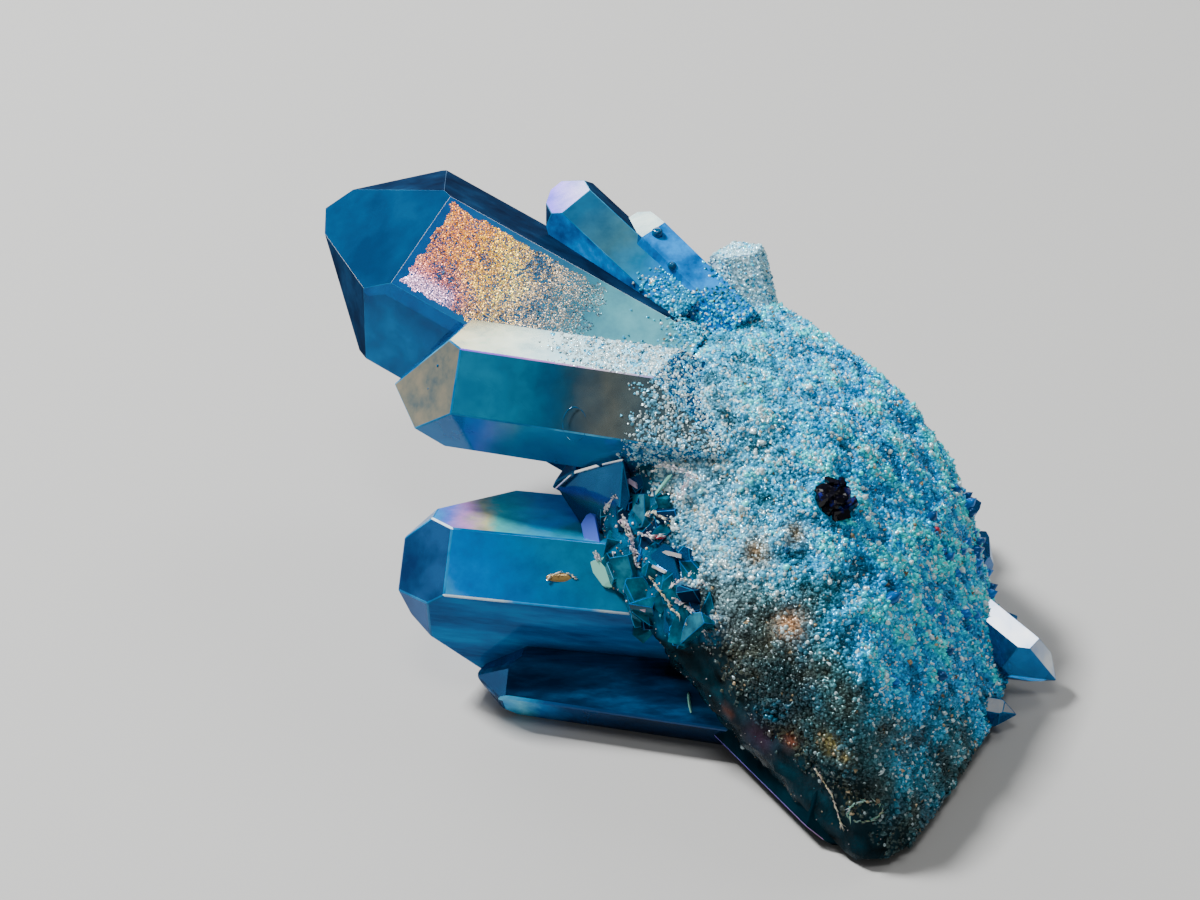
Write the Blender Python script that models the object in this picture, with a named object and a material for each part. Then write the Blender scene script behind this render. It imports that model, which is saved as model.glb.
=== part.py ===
"""Aura quartz cluster: clear six-sided points grown together with a sugar-like druse body, and a black grain.

Lengths are in millimetres in the tables and turned into metres by MM.
+Z is up, the cluster lies on the plane z = 0 and is centred on X and Y.
"""
import math
import random

import bmesh
import bpy
from mathutils import Matrix, Vector
from mathutils.bvhtree import BVHTree

MM = 0.001
SEED = 41
GROUND = 0.0            # plane the cluster lies on
BODY_LEVEL = 5          # icosphere subdivisions of the druse body
BODY_CENTRE = (11.6, -4.7, 10.5)
ROUGHNESS = 0.75        # tallest bump of the druse surface
POINT_COUNT = 64        # small fused druse points
GRAIN_GAP = 0.3         # free space between the black grain and its pocket

# Crystals. foot: a point on the axis inside the body. heading: compass turn of the axis from +X.
# rise: its slope above the horizontal. turn: roll of the first side away from straight up.
# sides: distances of the six prism faces from the axis.
# tips: (turn from the first side, slope of the face toward the tip, where it crosses the axis).
CRYSTALS = {
    "main_point": dict(
        foot=(-0.7, 7.8, 17.8), heading=152, rise=16, turn=-32,
        sides=(7.9, 7.9, 7.9, 7.9, 7.9, 7.9),
        tips=((0, 38, 34.7), (289, 38, 36.2), (45, 34, 38.3), (240, 40, 35.8), (125, 40, 38.1), (180, 45, 37.4))),
    "middle_point": dict(
        foot=(4.3, -2.6, 23.9), heading=165, rise=0, turn=-54,
        sides=(4.6, 4.6, 4.6, 4.6, 4.6, 4.6),
        tips=((0, 38, 28.6), (247, 37, 30.5), (69, 46, 28.2), (240, 42, 30.3), (54, -30, -1.6))),
    "low_point": dict(
        foot=(8.1, -5.5, 7.7), heading=172, rise=1, turn=-45,
        sides=(8.0, 6.4, 6.9, 7.5, 6.9, 6.4),
        tips=((0, 38, 37.2), (300, 36, 37.2), (62, 44, 35.4), (180, 52, 27.7), (240, 40, 32.4), (120, 42, 30.9))),
    "upper_point": dict(
        foot=(0.5, 11.9, 24.4), heading=136, rise=20, turn=-23,
        sides=(2.8, 2.8, 2.8, 2.8, 2.8, 2.8),
        tips=((0, 38, 17.5), (300, 38, 18.4), (60, 38, 19.1), (240, 38, 17.4), (180, 38, 17.6), (120, 38, 19.2))),
    "beaded_point": dict(
        foot=(4.6, 10.3, 24.2), heading=136, rise=22, turn=-8,
        sides=(2.3, 2.3, 2.3, 2.3, 2.3, 2.3),
        tips=((0, 38, 14.2), (300, 38, 14.2), (60, 40, 16.4), (180, 40, 15.0), (240, 40, 14.0))),
    "blade": dict(
        foot=(2.6, -0.3, 19.3), heading=185, rise=-14, turn=-10,
        sides=(2.2, 2.4, 2.2, 2.2, 2.2, 2.2),
        tips=((0, 38, 14.3), (60, 38, 15.2), (120, 38, 15.6), (180, 38, 14.1), (240, 38, 12.5), (300, 38, 12.6))),
    "ground_point": dict(
        foot=(6.7, -12.9, 3.0), heading=167, rise=0, turn=0,
        sides=(3.2, 3.1, 3.0, 3.0, 3.0, 3.1),
        tips=((0, 38, 24.2), (60, 38, 24.4), (120, 38, 24.0), (180, 38, 24.8), (240, 38, 25.6), (300, 38, 25.0))),
    "right_point": dict(
        foot=(20.7, -1.8, 7.1), heading=-35, rise=-23, turn=2,
        sides=(2.0, 2.0, 1.9, 1.9, 2.0, 2.0),
        tips=((0, 38, 12.2), (60, 38, 11.4), (120, 38, 12.0), (180, 38, 13.4), (240, 38, 14.1), (300, 38, 13.6))),
    "right_low_point": dict(
        foot=(22.7, -10.7, 1.5), heading=-15, rise=-1, turn=23,
        sides=(1.15, 1.15, 1.15, 1.15, 1.15, 1.15),
        tips=((0, 38, 4.9), (60, 38, 4.7), (120, 38, 4.4), (180, 38, 4.2), (240, 38, 4.3), (300, 38, 4.7))),
    "sugared_stub": dict(
        foot=(7.2, 11.7, 17.5), heading=110, rise=48, turn=-6,
        sides=(2.4, 2.4, 2.3, 2.4, 2.4, 2.4),
        tips=((5, 62, 12.8), (120, 38, 14.6), (240, 50, 13.4), (180, 40, 14.8))),
    "edge_point_a": dict(
        foot=(17.6, 2.4, 9.8), heading=10, rise=14, turn=64,
        sides=(1.3, 1.2, 1.3, 1.2, 1.3, 1.2),
        tips=((0, 38, 7.8), (60, 38, 8.1), (120, 38, 7.8), (180, 38, 8.1), (240, 38, 7.8), (300, 38, 8.1))),
    "edge_point_b": dict(
        foot=(20.6, -2.8, 4.7), heading=50, rise=30, turn=33,
        sides=(1.9, 1.9, 1.9, 1.9, 1.9, 1.9),
        tips=((0, 38, 8.9), (60, 38, 9.2), (120, 38, 8.9), (180, 38, 9.2), (240, 38, 8.9), (300, 38, 9.2))),
    "edge_point_c": dict(
        foot=(23.4, -3.6, 3.0), heading=13, rise=18, turn=73,
        sides=(1.3, 1.3, 1.3, 1.3, 1.3, 1.3),
        tips=((0, 38, 4.9), (60, 38, 5.2), (120, 38, 4.9), (180, 38, 5.2), (240, 38, 4.9), (300, 38, 5.2))),
    "front_wedge": dict(
        foot=(4.0, -10.7, 3.2), heading=-58, rise=0, turn=14,
        sides=(2.8, 3.1, 3.6, 3.4, 3.2, 3.0),
        tips=((60, 38, 19.4), (0, 38, 21.0), (120, 38, 21.3), (300, 42, 20.4), (240, 38, 21.2))),
    "back_point_a": dict(
        foot=(11.0, 9.8, 9.0), heading=75, rise=-6, turn=12,
        sides=(3.0, 2.8, 3.0, 3.1, 2.8, 3.0),
        tips=((0, 38, 14.2), (60, 38, 15.0), (120, 38, 14.4), (180, 38, 15.4), (240, 38, 14.0), (300, 38, 15.2))),
    "back_point_b": dict(
        foot=(17.6, 6.3, 7.5), heading=62, rise=2, turn=40,
        sides=(2.1, 2.0, 2.1, 2.2, 2.0, 2.1),
        tips=((0, 38, 10.6), (60, 38, 10.0), (120, 38, 11.0), (180, 38, 10.2), (240, 38, 10.8), (300, 38, 10.3))),
    "back_point_c": dict(
        foot=(5.0, 10.8, 10.5), heading=112, rise=-9, turn=20,
        sides=(3.6, 3.4, 3.5, 3.6, 3.3, 3.5),
        tips=((0, 38, 14.0), (60, 38, 15.4), (120, 38, 14.2), (180, 38, 15.0), (240, 38, 14.6), (300, 38, 15.6))),
    "back_point_d": dict(
        foot=(3.0, 8.8, 8.6), heading=152, rise=-38, turn=5,
        sides=(2.6, 2.5, 2.6, 2.6, 2.4, 2.6),
        tips=((0, 38, 15.0), (60, 38, 14.5), (120, 38, 15.2), (180, 38, 14.7), (240, 38, 15.0), (300, 38, 14.4))),
}

# Corners that the druse body is stretched over.
BODY_CORNERS = (
    # upper rim, from the stub round to the right
    (1.5, 13.5, 23.6), (5.1, 17.3, 22.8), (7.7, 16.2, 23.8), (10.3, 13.7, 23.6), (14.0, 10.3, 22.3),
    (18.3, 7.7, 20.0), (20.9, 5.8, 17.1), (23.7, 3.5, 13.0), (24.3, 2.3, 9.8), (23.0, 0.1, 6.6),
    (25.5, -2.1, 3.0), (27.0, -7.6, 1.0), (25.0, -13.3, 0.0), (22.9, -17.7, 0.1), (19.8, -21.3, 0.2),
    # front foot
    (18.7, -25.7, 0.4), (15.3, -29.5, 0.0), (13.1, -29.1, 0.0), (10.1, -24.6, 0.2), (5.0, -16.1, 0.5),
    # dome turned to the front
    (1.7, 0.3, 27.9), (1.4, -3.3, 27.0), (1.4, -5.8, 24.9), (1.9, -7.2, 23.0), (5.9, -3.3, 25.4),
    (11.1, -8.2, 22.4), (16.8, -11.0, 16.6), (10.0, -17.6, 17.8), (5.6, -12.6, 18.0), (12.3, -25.3, 11.8),
    (7.0, -19.9, 10.2), (19.7, -17.6, 7.7), (5.1, 11.5, 24.6), (7.1, 12.5, 24.4), (11.3, -2.3, 24.4),
    (16.5, -1.3, 20.9), (21.5, -2.3, 15.4), (9.7, -20.1, 5.0), (12.3, -27.1, 2.6),
    # left flank, where the large points come out
    (-7.0, -5.1, 17.0), (-6.5, -9.9, 13.9), (-2.6, -13.3, 11.0), (-3.8, -4.1, 20.6), (-4.3, -7.9, 17.4),
    (1.0, -10.7, 11.7), (-2.9, -6.8, 6.3), (-4.4, 1.8, 15.0), (1.1, 5.8, 5.0), (-1.9, -0.7, 5.0),
    # back and underside
    (3.1, 18.8, 18.0), (7.1, 20.3, 15.0), (13.1, 17.8, 13.0), (19.1, 14.3, 10.0), (22.6, 9.8, 6.0),
    (24.5, 4.3, 2.5), (5.1, 15.8, 7.0), (13.1, 13.8, 1.0), (19.1, 11.8, -0.4), (18.1, 6.3, -0.6),
    (11.1, 7.8, -0.5),
)

# Places where the body reaches the ground; between them its underside is arched.
FOOTINGS = ((13.3, -25.2), (18.7, 8.9))
ARCH = 1.0              # height of the arch
ARCH_REACH = 7.0        # distance over which the arch rises from a footing

GRAIN_AT = (11.2, -9.3, 21.0)


def axis_frame(spec):
    """Axis, up-ish and sideways unit vectors of a crystal."""
    heading = math.radians(spec["heading"])
    rise = math.radians(spec["rise"])
    axis = Vector((math.cos(heading) * math.cos(rise), math.sin(heading) * math.cos(rise), math.sin(rise)))
    up = Vector((0, 0, 1)) - axis * axis.z
    up.normalize()
    return axis, up, axis.cross(up)


def trim(bm, point, normal):
    """Cut away everything on the normal's side of a plane and close the cut."""
    geometry = bm.verts[:] + bm.edges[:] + bm.faces[:]
    cut = bmesh.ops.bisect_plane(
        bm, geom=geometry, dist=1e-7, plane_co=point, plane_no=normal, clear_outer=True)
    rim = [item for item in cut["geom_cut"] if isinstance(item, bmesh.types.BMEdge)]
    rim = [edge for edge in rim if edge.is_valid and edge.is_boundary]
    if rim:
        bmesh.ops.contextual_create(bm, geom=rim)


def mesh_object(name, bm, collection):
    """Turn a bmesh into an object of the collection."""
    bmesh.ops.recalc_face_normals(bm, faces=bm.faces)
    mesh = bpy.data.meshes.new(name)
    bm.to_mesh(mesh)
    bm.free()
    obj = bpy.data.objects.new(name, mesh)
    collection.objects.link(obj)
    return obj


def crystal(name, spec, collection):
    """One quartz point: a six-sided prism trimmed by its side faces, then by its tip faces."""
    axis, up, across = axis_frame(spec)
    foot = Vector(spec["foot"]) * MM
    reach = max(tip[2] for tip in spec["tips"]) * MM
    girth = 2.2 * max(spec["sides"]) * MM
    length = reach + girth
    bm = bmesh.new()
    place = Matrix.Translation(foot + axis * length / 2) @ axis.to_track_quat("Z", "Y").to_matrix().to_4x4()
    bmesh.ops.create_cone(
        bm, cap_ends=True, segments=6, radius1=girth, radius2=girth, depth=length, matrix=place)
    for index, distance in enumerate(spec["sides"]):
        angle = math.radians(spec["turn"] + 60 * index)
        outward = up * math.cos(angle) + across * math.sin(angle)
        trim(bm, foot + outward * distance * MM, outward)
    for turn, slope, crossing in spec["tips"]:
        angle = math.radians(spec["turn"] + turn)
        outward = up * math.cos(angle) + across * math.sin(angle)
        lean = math.radians(slope)
        trim(bm, foot + axis * crossing * MM, outward * math.cos(lean) + axis * math.sin(lean))
    return mesh_object(name, bm, collection)


def corner_hull():
    """Convex shell over the body corners."""
    bm = bmesh.new()
    for corner in BODY_CORNERS:
        bm.verts.new(Vector(corner) * MM)
    bmesh.ops.convex_hull(bm, input=bm.verts)
    loose = [vert for vert in bm.verts if not vert.link_faces]
    bmesh.ops.delete(bm, geom=loose, context="VERTS")
    return bm


def arch_over(vert):
    """How far a point of the underside is lifted clear of the ground."""
    nearest = min(math.dist((vert.co.x / MM, vert.co.y / MM), footing) for footing in FOOTINGS)
    share = min(1.0, nearest / ARCH_REACH)
    facing_down = max(0.0, -vert.normal.z)
    return ARCH * share * share * (3 - 2 * share) * facing_down


def druse_body(collection):
    """A fine sphere drawn in onto the shell, then roughened into low sugary bumps."""
    rng = random.Random(SEED)
    hull = corner_hull()
    shell = BVHTree.FromBMesh(hull)
    hull.free()
    centre = Vector(BODY_CENTRE) * MM
    bm = bmesh.new()
    bmesh.ops.create_icosphere(bm, subdivisions=BODY_LEVEL, radius=1.0)
    for vert in bm.verts:
        jitter = Vector((rng.uniform(-1, 1), rng.uniform(-1, 1), rng.uniform(-1, 1))) * 0.02
        ray = (vert.co + jitter).normalized()
        vert.co = shell.ray_cast(centre, ray)[0]
    bmesh.ops.smooth_vert(bm, verts=bm.verts, factor=0.5, use_axis_x=True, use_axis_y=True, use_axis_z=True)
    bm.normal_update()
    for vert in bm.verts:
        vert.co.z += arch_over(vert) * MM
    bm.normal_update()
    bumps = [(vert, vert.normal.copy(), rng.random()) for vert in bm.verts]
    for vert, normal, chance in bumps:
        vert.co += normal * (chance ** 1.6) * ROUGHNESS * MM
    return mesh_object("druse_body", bm, collection)


def druse_points(body, collection):
    """Small points that stand out of the druse, well apart from each other."""
    rng = random.Random(SEED + 1)
    polygons = body.data.polygons
    taken = []
    bm = bmesh.new()
    while len(taken) < POINT_COUNT:
        face = polygons[rng.randrange(len(polygons))]
        spot = face.center.copy()
        normal = face.normal.copy()
        radius = rng.uniform(0.45, 0.85) * MM
        if spot.z < 2.5 * MM or normal.z < -0.5 or any((spot - other).length < 3.0 * MM for other in taken):
            continue
        taken.append(spot)
        lean = Vector((rng.uniform(-1, 1), rng.uniform(-1, 1), rng.uniform(-1, 1))) * 0.45
        axis = (normal + lean).normalized()
        height = radius * rng.uniform(2.2, 3.0)
        turn = axis.to_track_quat("Z", "Y").to_matrix().to_4x4()
        spin = Matrix.Rotation(rng.uniform(0, 1), 4, "Z")
        low = Matrix.Translation(spot - axis * 0.2 * MM) @ turn @ spin
        bmesh.ops.create_cone(
            bm, cap_ends=True, segments=6, radius1=radius, radius2=radius * 0.12, depth=height, matrix=low)
    return mesh_object("druse_points", bm, collection)


def join(target, other):
    """Fuse another solid into the target and remove it."""
    union = target.modifiers.new("union", "BOOLEAN")
    union.operation = "UNION"
    union.solver = "EXACT"
    union.object = other
    apply_all(target)
    bpy.data.objects.remove(other)


def apply_all(obj):
    """Replace the object's mesh by what its modifiers make of it."""
    graph = bpy.context.evaluated_depsgraph_get()
    graph.update()
    mesh = bpy.data.meshes.new_from_object(obj.evaluated_get(graph))
    obj.modifiers.clear()
    obj.data = mesh


def cut(target, cutter):
    """Take a cutter out of the target."""
    difference = target.modifiers.new("cut", "BOOLEAN")
    difference.operation = "DIFFERENCE"
    difference.solver = "EXACT"
    difference.object = cutter
    apply_all(target)


def flatten_underside(obj):
    """Trim what lies under the ground, so that the cluster rests on small flats."""
    bm = bmesh.new()
    bm.from_mesh(obj.data)
    ground = Vector((0, 0, GROUND))
    geometry = bm.verts[:] + bm.edges[:] + bm.faces[:]
    bmesh.ops.bisect_plane(
        bm, geom=geometry, dist=1e-7, plane_co=ground, plane_no=Vector((0, 0, -1)), clear_outer=True)
    rim = [edge for edge in bm.edges if edge.is_boundary]
    bmesh.ops.holes_fill(bm, edges=rim, sides=0)
    bmesh.ops.triangulate(bm, faces=bm.faces)
    bm.to_mesh(obj.data)
    bm.free()


def grain_shape(name, swell, collection):
    """Ragged mineral grain; swell thickens it into the cutter of its pocket."""
    rng = random.Random(SEED + 2)
    bm = bmesh.new()
    bmesh.ops.create_icosphere(bm, subdivisions=2, radius=1.0)
    at = Vector(GRAIN_AT) * MM
    for vert in bm.verts:
        ragged = 0.74 + 0.42 * rng.random()
        size = Vector((1.95, 1.5, 1.7)) * ragged + Vector((swell, swell, swell))
        vert.co = Vector((vert.co.x * size.x, vert.co.y * size.y, vert.co.z * size.z)) * MM + at
    return mesh_object(name, bm, collection)


def material(name, colour, roughness, transmission, density):
    """A plain Principled material for the solid."""
    made = bpy.data.materials.new(name)
    made.use_nodes = True
    shader = made.node_tree.nodes["Principled BSDF"]
    shader.inputs["Base Color"].default_value = (*colour, 1.0)
    shader.inputs["Roughness"].default_value = roughness
    shader.inputs["Transmission Weight"].default_value = transmission
    shader.inputs["IOR"].default_value = density
    return made


def clear_scene():
    """Remove every object that Blender starts with."""
    for obj in list(bpy.data.objects):
        bpy.data.objects.remove(obj)


def build():
    """Make the cluster and the grain."""
    clear_scene()
    parts = bpy.data.collections.new("aura_quartz_cluster")
    cutters = bpy.data.collections.new("cutters")
    for collection in (parts, cutters):
        bpy.context.scene.collection.children.link(collection)
    cutters.hide_render = True
    body = druse_body(parts)
    points = druse_points(body, parts)
    join(body, points)
    for name, spec in CRYSTALS.items():
        join(body, crystal(name, spec, parts))
    pocket = grain_shape("grain_pocket", GRAIN_GAP, cutters)
    pocket.display_type = "WIRE"
    pocket.hide_render = True
    cut(body, pocket)
    flatten_underside(body)
    body.name = "quartz_cluster"
    body.data.materials.clear()
    body.data.materials.append(material("aura_quartz", (0.03, 0.38, 0.62), 0.12, 0.0, 1.54))
    grain = grain_shape("black_mineral_grain", 0.0, parts)
    grain.data.materials.append(material("black_mineral", (0.012, 0.012, 0.02), 0.3, 0.0, 1.5))


build()
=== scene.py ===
# %% [markdown]
# A cluster of quartz whose crystals carry a thin coat of blue metal, known as an aura coating.
# Large clear six-sided points grow out of a rounded mass of tiny crystals called druse.
# The measured solids are loaded first and never change. The pieces made below are laid over them,
# at the same numbers, and only they are shown.

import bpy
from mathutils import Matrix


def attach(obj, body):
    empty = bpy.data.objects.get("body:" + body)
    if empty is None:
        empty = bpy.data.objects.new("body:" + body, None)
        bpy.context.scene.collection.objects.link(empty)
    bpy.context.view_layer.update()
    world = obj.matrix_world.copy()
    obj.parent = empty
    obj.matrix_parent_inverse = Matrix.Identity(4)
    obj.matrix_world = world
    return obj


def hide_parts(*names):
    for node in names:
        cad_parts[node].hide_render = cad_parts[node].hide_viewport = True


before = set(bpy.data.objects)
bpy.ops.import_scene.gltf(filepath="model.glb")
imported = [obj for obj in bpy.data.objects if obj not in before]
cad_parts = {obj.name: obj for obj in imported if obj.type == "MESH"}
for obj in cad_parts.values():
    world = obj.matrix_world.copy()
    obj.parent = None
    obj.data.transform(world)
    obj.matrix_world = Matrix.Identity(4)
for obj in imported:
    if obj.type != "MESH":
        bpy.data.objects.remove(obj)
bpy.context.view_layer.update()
print("frame nodes:", sorted(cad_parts))

# %% Modules and units
import math

import bpy
import numpy as np
from mathutils import Matrix, Vector

MM = 0.001
SEED = 41
print("one millimetre is", MM, "of a Blender unit")

# %% [markdown]
# The camera stands about 26 cm away and looks down at 35 degrees, close to how a small specimen
# on a table is seen. A long lens keeps the crystals from looking stretched.

# %% Camera
camera_data = bpy.data.cameras.new("camera")
camera_data.lens = 93.98
camera_data.sensor_width = 36
camera_data.clip_start = 0.01
camera = bpy.data.objects.new("camera", camera_data)
camera.location = (-0.0070, -0.20918, 0.16613)
camera.rotation_euler = (math.radians(55), 0, 0)
bpy.context.scene.collection.objects.link(camera)
bpy.context.scene.camera = camera
print("camera at", tuple(camera.location))

# %% [markdown]
# The stage is a plain pale floor. Crystal faces are small mirrors, so each lamp is placed where the
# faces that should shine will mirror it: a small strong one high on the left, a wide, low
# window-like one behind, a soft one almost overhead and a weak one at the back right. The room
# itself stays dim, or every face would turn grey.


# %% Floor and lamps
def soft_lamp(name, bearing, height, distance, size, power):
    """A lamp aimed at the cluster; bearing is the compass turn from behind toward the right."""
    bearing, height = math.radians(bearing), math.radians(height)
    flat = math.cos(height)
    way = Vector((math.sin(bearing) * flat, math.cos(bearing) * flat, math.sin(height)))
    data = bpy.data.lights.new(name, "AREA")
    data.shape = "RECTANGLE"
    data.size, data.size_y = size
    data.energy = power
    lamp = bpy.data.objects.new(name, data)
    lamp.location = way * distance + Vector((0, 0, 0.015))
    lamp.rotation_euler = way.to_track_quat("Z", "Y").to_euler()
    lamp.visible_camera = False
    bpy.context.scene.collection.objects.link(lamp)


bpy.ops.object.select_all(action="DESELECT")
bpy.ops.mesh.primitive_plane_add(size=6, location=(0, 0, 0))
floor = bpy.context.object
floor.name = "floor"
floor_paint = bpy.data.materials.new("floor_paint")
floor_paint.use_nodes = True
floor_shader = floor_paint.node_tree.nodes["Principled BSDF"]
floor_shader.inputs["Base Color"].default_value = (0.40, 0.40, 0.392, 1)
floor_shader.inputs["Roughness"].default_value = 0.7
floor.data.materials.append(floor_paint)

world = bpy.data.worlds.new("studio")
world.use_nodes = True
world.node_tree.nodes["Background"].inputs["Color"].default_value = (0.8, 0.8, 0.8, 1)
world.node_tree.nodes["Background"].inputs["Strength"].default_value = 0.22
bpy.context.scene.world = world
soft_lamp("key_lamp", -65, 54, 0.70, (0.11, 0.11), 11.4)
soft_lamp("window_lamp", -12, 17, 0.80, (0.60, 0.34), 3.0)
soft_lamp("top_lamp", -163, 74, 0.60, (0.16, 0.16), 0.85)
soft_lamp("right_lamp", 47, 50, 0.60, (0.20, 0.20), 0.7)

# %% [markdown]
# Every quartz point is the same simple idea: a six-sided prism, cut off by sloping tip faces that
# lean about 38 degrees. No two real points are equal, because each tip face stops at its own
# distance, so the tables below give every side and every tip face its own number.
# The numbers are in millimetres. `foot` is on the axis inside the druse, `heading` and `rise`
# aim the axis, and `turn` rolls the crystal about it. `sides` are the distances of the six sides
# from the axis. Each tip face has its turn, its slope and the place where it crosses the axis.


# %% Table of crystals
def even_tips(*crossings):
    """Six tip faces, 60 degrees apart and equally steep."""
    return tuple((60 * index, 38, crossing) for index, crossing in enumerate(crossings))


CRYSTALS = {
    "main_point": dict(
        foot=(-0.7, 7.8, 17.8), heading=152, rise=16, turn=-32,
        sides=(7.9,) * 6,
        tips=((0, 38, 34.7), (289, 38, 36.2), (45, 34, 38.3), (240, 40, 35.8),
              (125, 40, 38.1), (180, 45, 37.4))),
    "middle_point": dict(
        foot=(4.3, -2.6, 23.9), heading=165, rise=0, turn=-54,
        sides=(4.6,) * 6,
        tips=((0, 38, 28.6), (247, 37, 30.5), (69, 46, 28.2), (240, 42, 30.3), (54, -30, -1.6))),
    "low_point": dict(
        foot=(8.1, -5.5, 7.7), heading=172, rise=1, turn=-45,
        sides=(8.0, 6.4, 6.9, 7.5, 6.9, 6.4),
        tips=((0, 38, 37.2), (300, 36, 37.2), (62, 44, 35.4), (180, 52, 27.7),
              (240, 40, 32.4), (120, 42, 30.9))),
    "upper_point": dict(
        foot=(0.5, 11.9, 24.4), heading=136, rise=20, turn=-23,
        sides=(2.8,) * 6,
        tips=((0, 38, 17.5), (300, 38, 18.4), (60, 38, 19.1), (240, 38, 17.4),
              (180, 38, 17.6), (120, 38, 19.2))),
    "beaded_point": dict(
        foot=(4.6, 10.3, 24.2), heading=136, rise=22, turn=-8,
        sides=(2.3,) * 6,
        tips=((0, 38, 14.2), (300, 38, 14.2), (60, 40, 16.4), (180, 40, 15.0), (240, 40, 14.0))),
    "blade": dict(
        foot=(2.6, -0.3, 19.3), heading=185, rise=-14, turn=-10,
        sides=(2.2, 2.4, 2.2, 2.2, 2.2, 2.2),
        tips=even_tips(14.3, 15.2, 15.6, 14.1, 12.5, 12.6)),
    "ground_point": dict(
        foot=(6.7, -12.9, 3.0), heading=167, rise=0, turn=0,
        sides=(3.2, 3.1, 3.0, 3.0, 3.0, 3.1),
        tips=even_tips(24.2, 24.4, 24.0, 24.8, 25.6, 25.0)),
    "right_point": dict(
        foot=(20.7, -1.8, 7.1), heading=-35, rise=-23, turn=2,
        sides=(2.0, 2.0, 1.9, 1.9, 2.0, 2.0),
        tips=even_tips(12.2, 11.4, 12.0, 13.4, 14.1, 13.6)),
    "right_low_point": dict(
        foot=(22.7, -10.7, 1.5), heading=-15, rise=-1, turn=23,
        sides=(1.15,) * 6,
        tips=even_tips(4.9, 4.7, 4.4, 4.2, 4.3, 4.7)),
    "sugared_stub": dict(
        foot=(7.2, 11.7, 17.5), heading=110, rise=48, turn=-6,
        sides=(2.4, 2.4, 2.3, 2.4, 2.4, 2.4),
        tips=((5, 62, 12.8), (120, 38, 14.6), (240, 50, 13.4), (180, 40, 14.8))),
    "edge_point_a": dict(
        foot=(17.6, 2.4, 9.8), heading=10, rise=14, turn=64,
        sides=(1.3, 1.2, 1.3, 1.2, 1.3, 1.2),
        tips=even_tips(7.8, 8.1, 7.8, 8.1, 7.8, 8.1)),
    "edge_point_b": dict(
        foot=(20.6, -2.8, 4.7), heading=50, rise=30, turn=33,
        sides=(1.9,) * 6,
        tips=even_tips(8.9, 9.2, 8.9, 9.2, 8.9, 9.2)),
    "edge_point_c": dict(
        foot=(23.4, -3.6, 3.0), heading=13, rise=18, turn=73,
        sides=(1.3,) * 6,
        tips=even_tips(4.9, 5.2, 4.9, 5.2, 4.9, 5.2)),
    "front_wedge": dict(
        foot=(4.0, -10.7, 3.2), heading=-58, rise=0, turn=14,
        sides=(2.8, 3.1, 3.6, 3.4, 3.2, 3.0),
        tips=((60, 38, 19.4), (0, 38, 21.0), (120, 38, 21.3), (300, 42, 20.4), (240, 38, 21.2))),
    "back_point_a": dict(
        foot=(11.0, 9.8, 9.0), heading=75, rise=-6, turn=12,
        sides=(3.0, 2.8, 3.0, 3.1, 2.8, 3.0),
        tips=even_tips(14.2, 15.0, 14.4, 15.4, 14.0, 15.2)),
    "back_point_b": dict(
        foot=(17.6, 6.3, 7.5), heading=62, rise=2, turn=40,
        sides=(2.1, 2.0, 2.1, 2.2, 2.0, 2.1),
        tips=even_tips(10.6, 10.0, 11.0, 10.2, 10.8, 10.3)),
    "back_point_c": dict(
        foot=(5.0, 10.8, 10.5), heading=112, rise=-9, turn=20,
        sides=(3.6, 3.4, 3.5, 3.6, 3.3, 3.5),
        tips=even_tips(14.0, 15.4, 14.2, 15.0, 14.6, 15.6)),
    "back_point_d": dict(
        foot=(3.0, 8.8, 8.6), heading=152, rise=-38, turn=5,
        sides=(2.6, 2.5, 2.6, 2.6, 2.4, 2.6),
        tips=even_tips(15.0, 14.5, 15.2, 14.7, 15.0, 14.4)),
}
print(len(CRYSTALS), "crystals")

# %% [markdown]
# Each point is cut the way a gem cutter would do it. A wide six-sided cylinder is added along the
# axis, and in edit mode the Bisect tool slices off everything outside one face after another and
# fills the cut. Bisect was chosen over moving corners by hand because real crystal faces are
# exactly flat, and a plane given by its tilt and distance keeps them so.


# %% Grow one crystal
def axis_frame(spec):
    """Axis, upward and sideways unit vectors of a crystal."""
    heading = math.radians(spec["heading"])
    rise = math.radians(spec["rise"])
    flat = math.cos(rise)
    axis = Vector((math.cos(heading) * flat, math.sin(heading) * flat, math.sin(rise)))
    up = Vector((0, 0, 1)) - axis * axis.z
    up.normalize()
    return axis, up, axis.cross(up)


def crystal_planes(spec):
    """Every face of a crystal as (label, a point on it, its outward normal)."""
    axis, up, across = axis_frame(spec)
    foot = Vector(spec["foot"]) * MM
    planes = []
    for index, distance in enumerate(spec["sides"]):
        angle = math.radians(spec["turn"] + 60 * index)
        outward = up * math.cos(angle) + across * math.sin(angle)
        planes.append((f"side{index}", foot + outward * distance * MM, outward))
    for index, (turn, slope, crossing) in enumerate(spec["tips"]):
        angle = math.radians(spec["turn"] + turn)
        outward = up * math.cos(angle) + across * math.sin(angle)
        lean = math.radians(slope)
        normal = outward * math.cos(lean) + axis * math.sin(lean)
        planes.append((f"tip{index}", foot + axis * crossing * MM, normal))
    return planes


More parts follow.
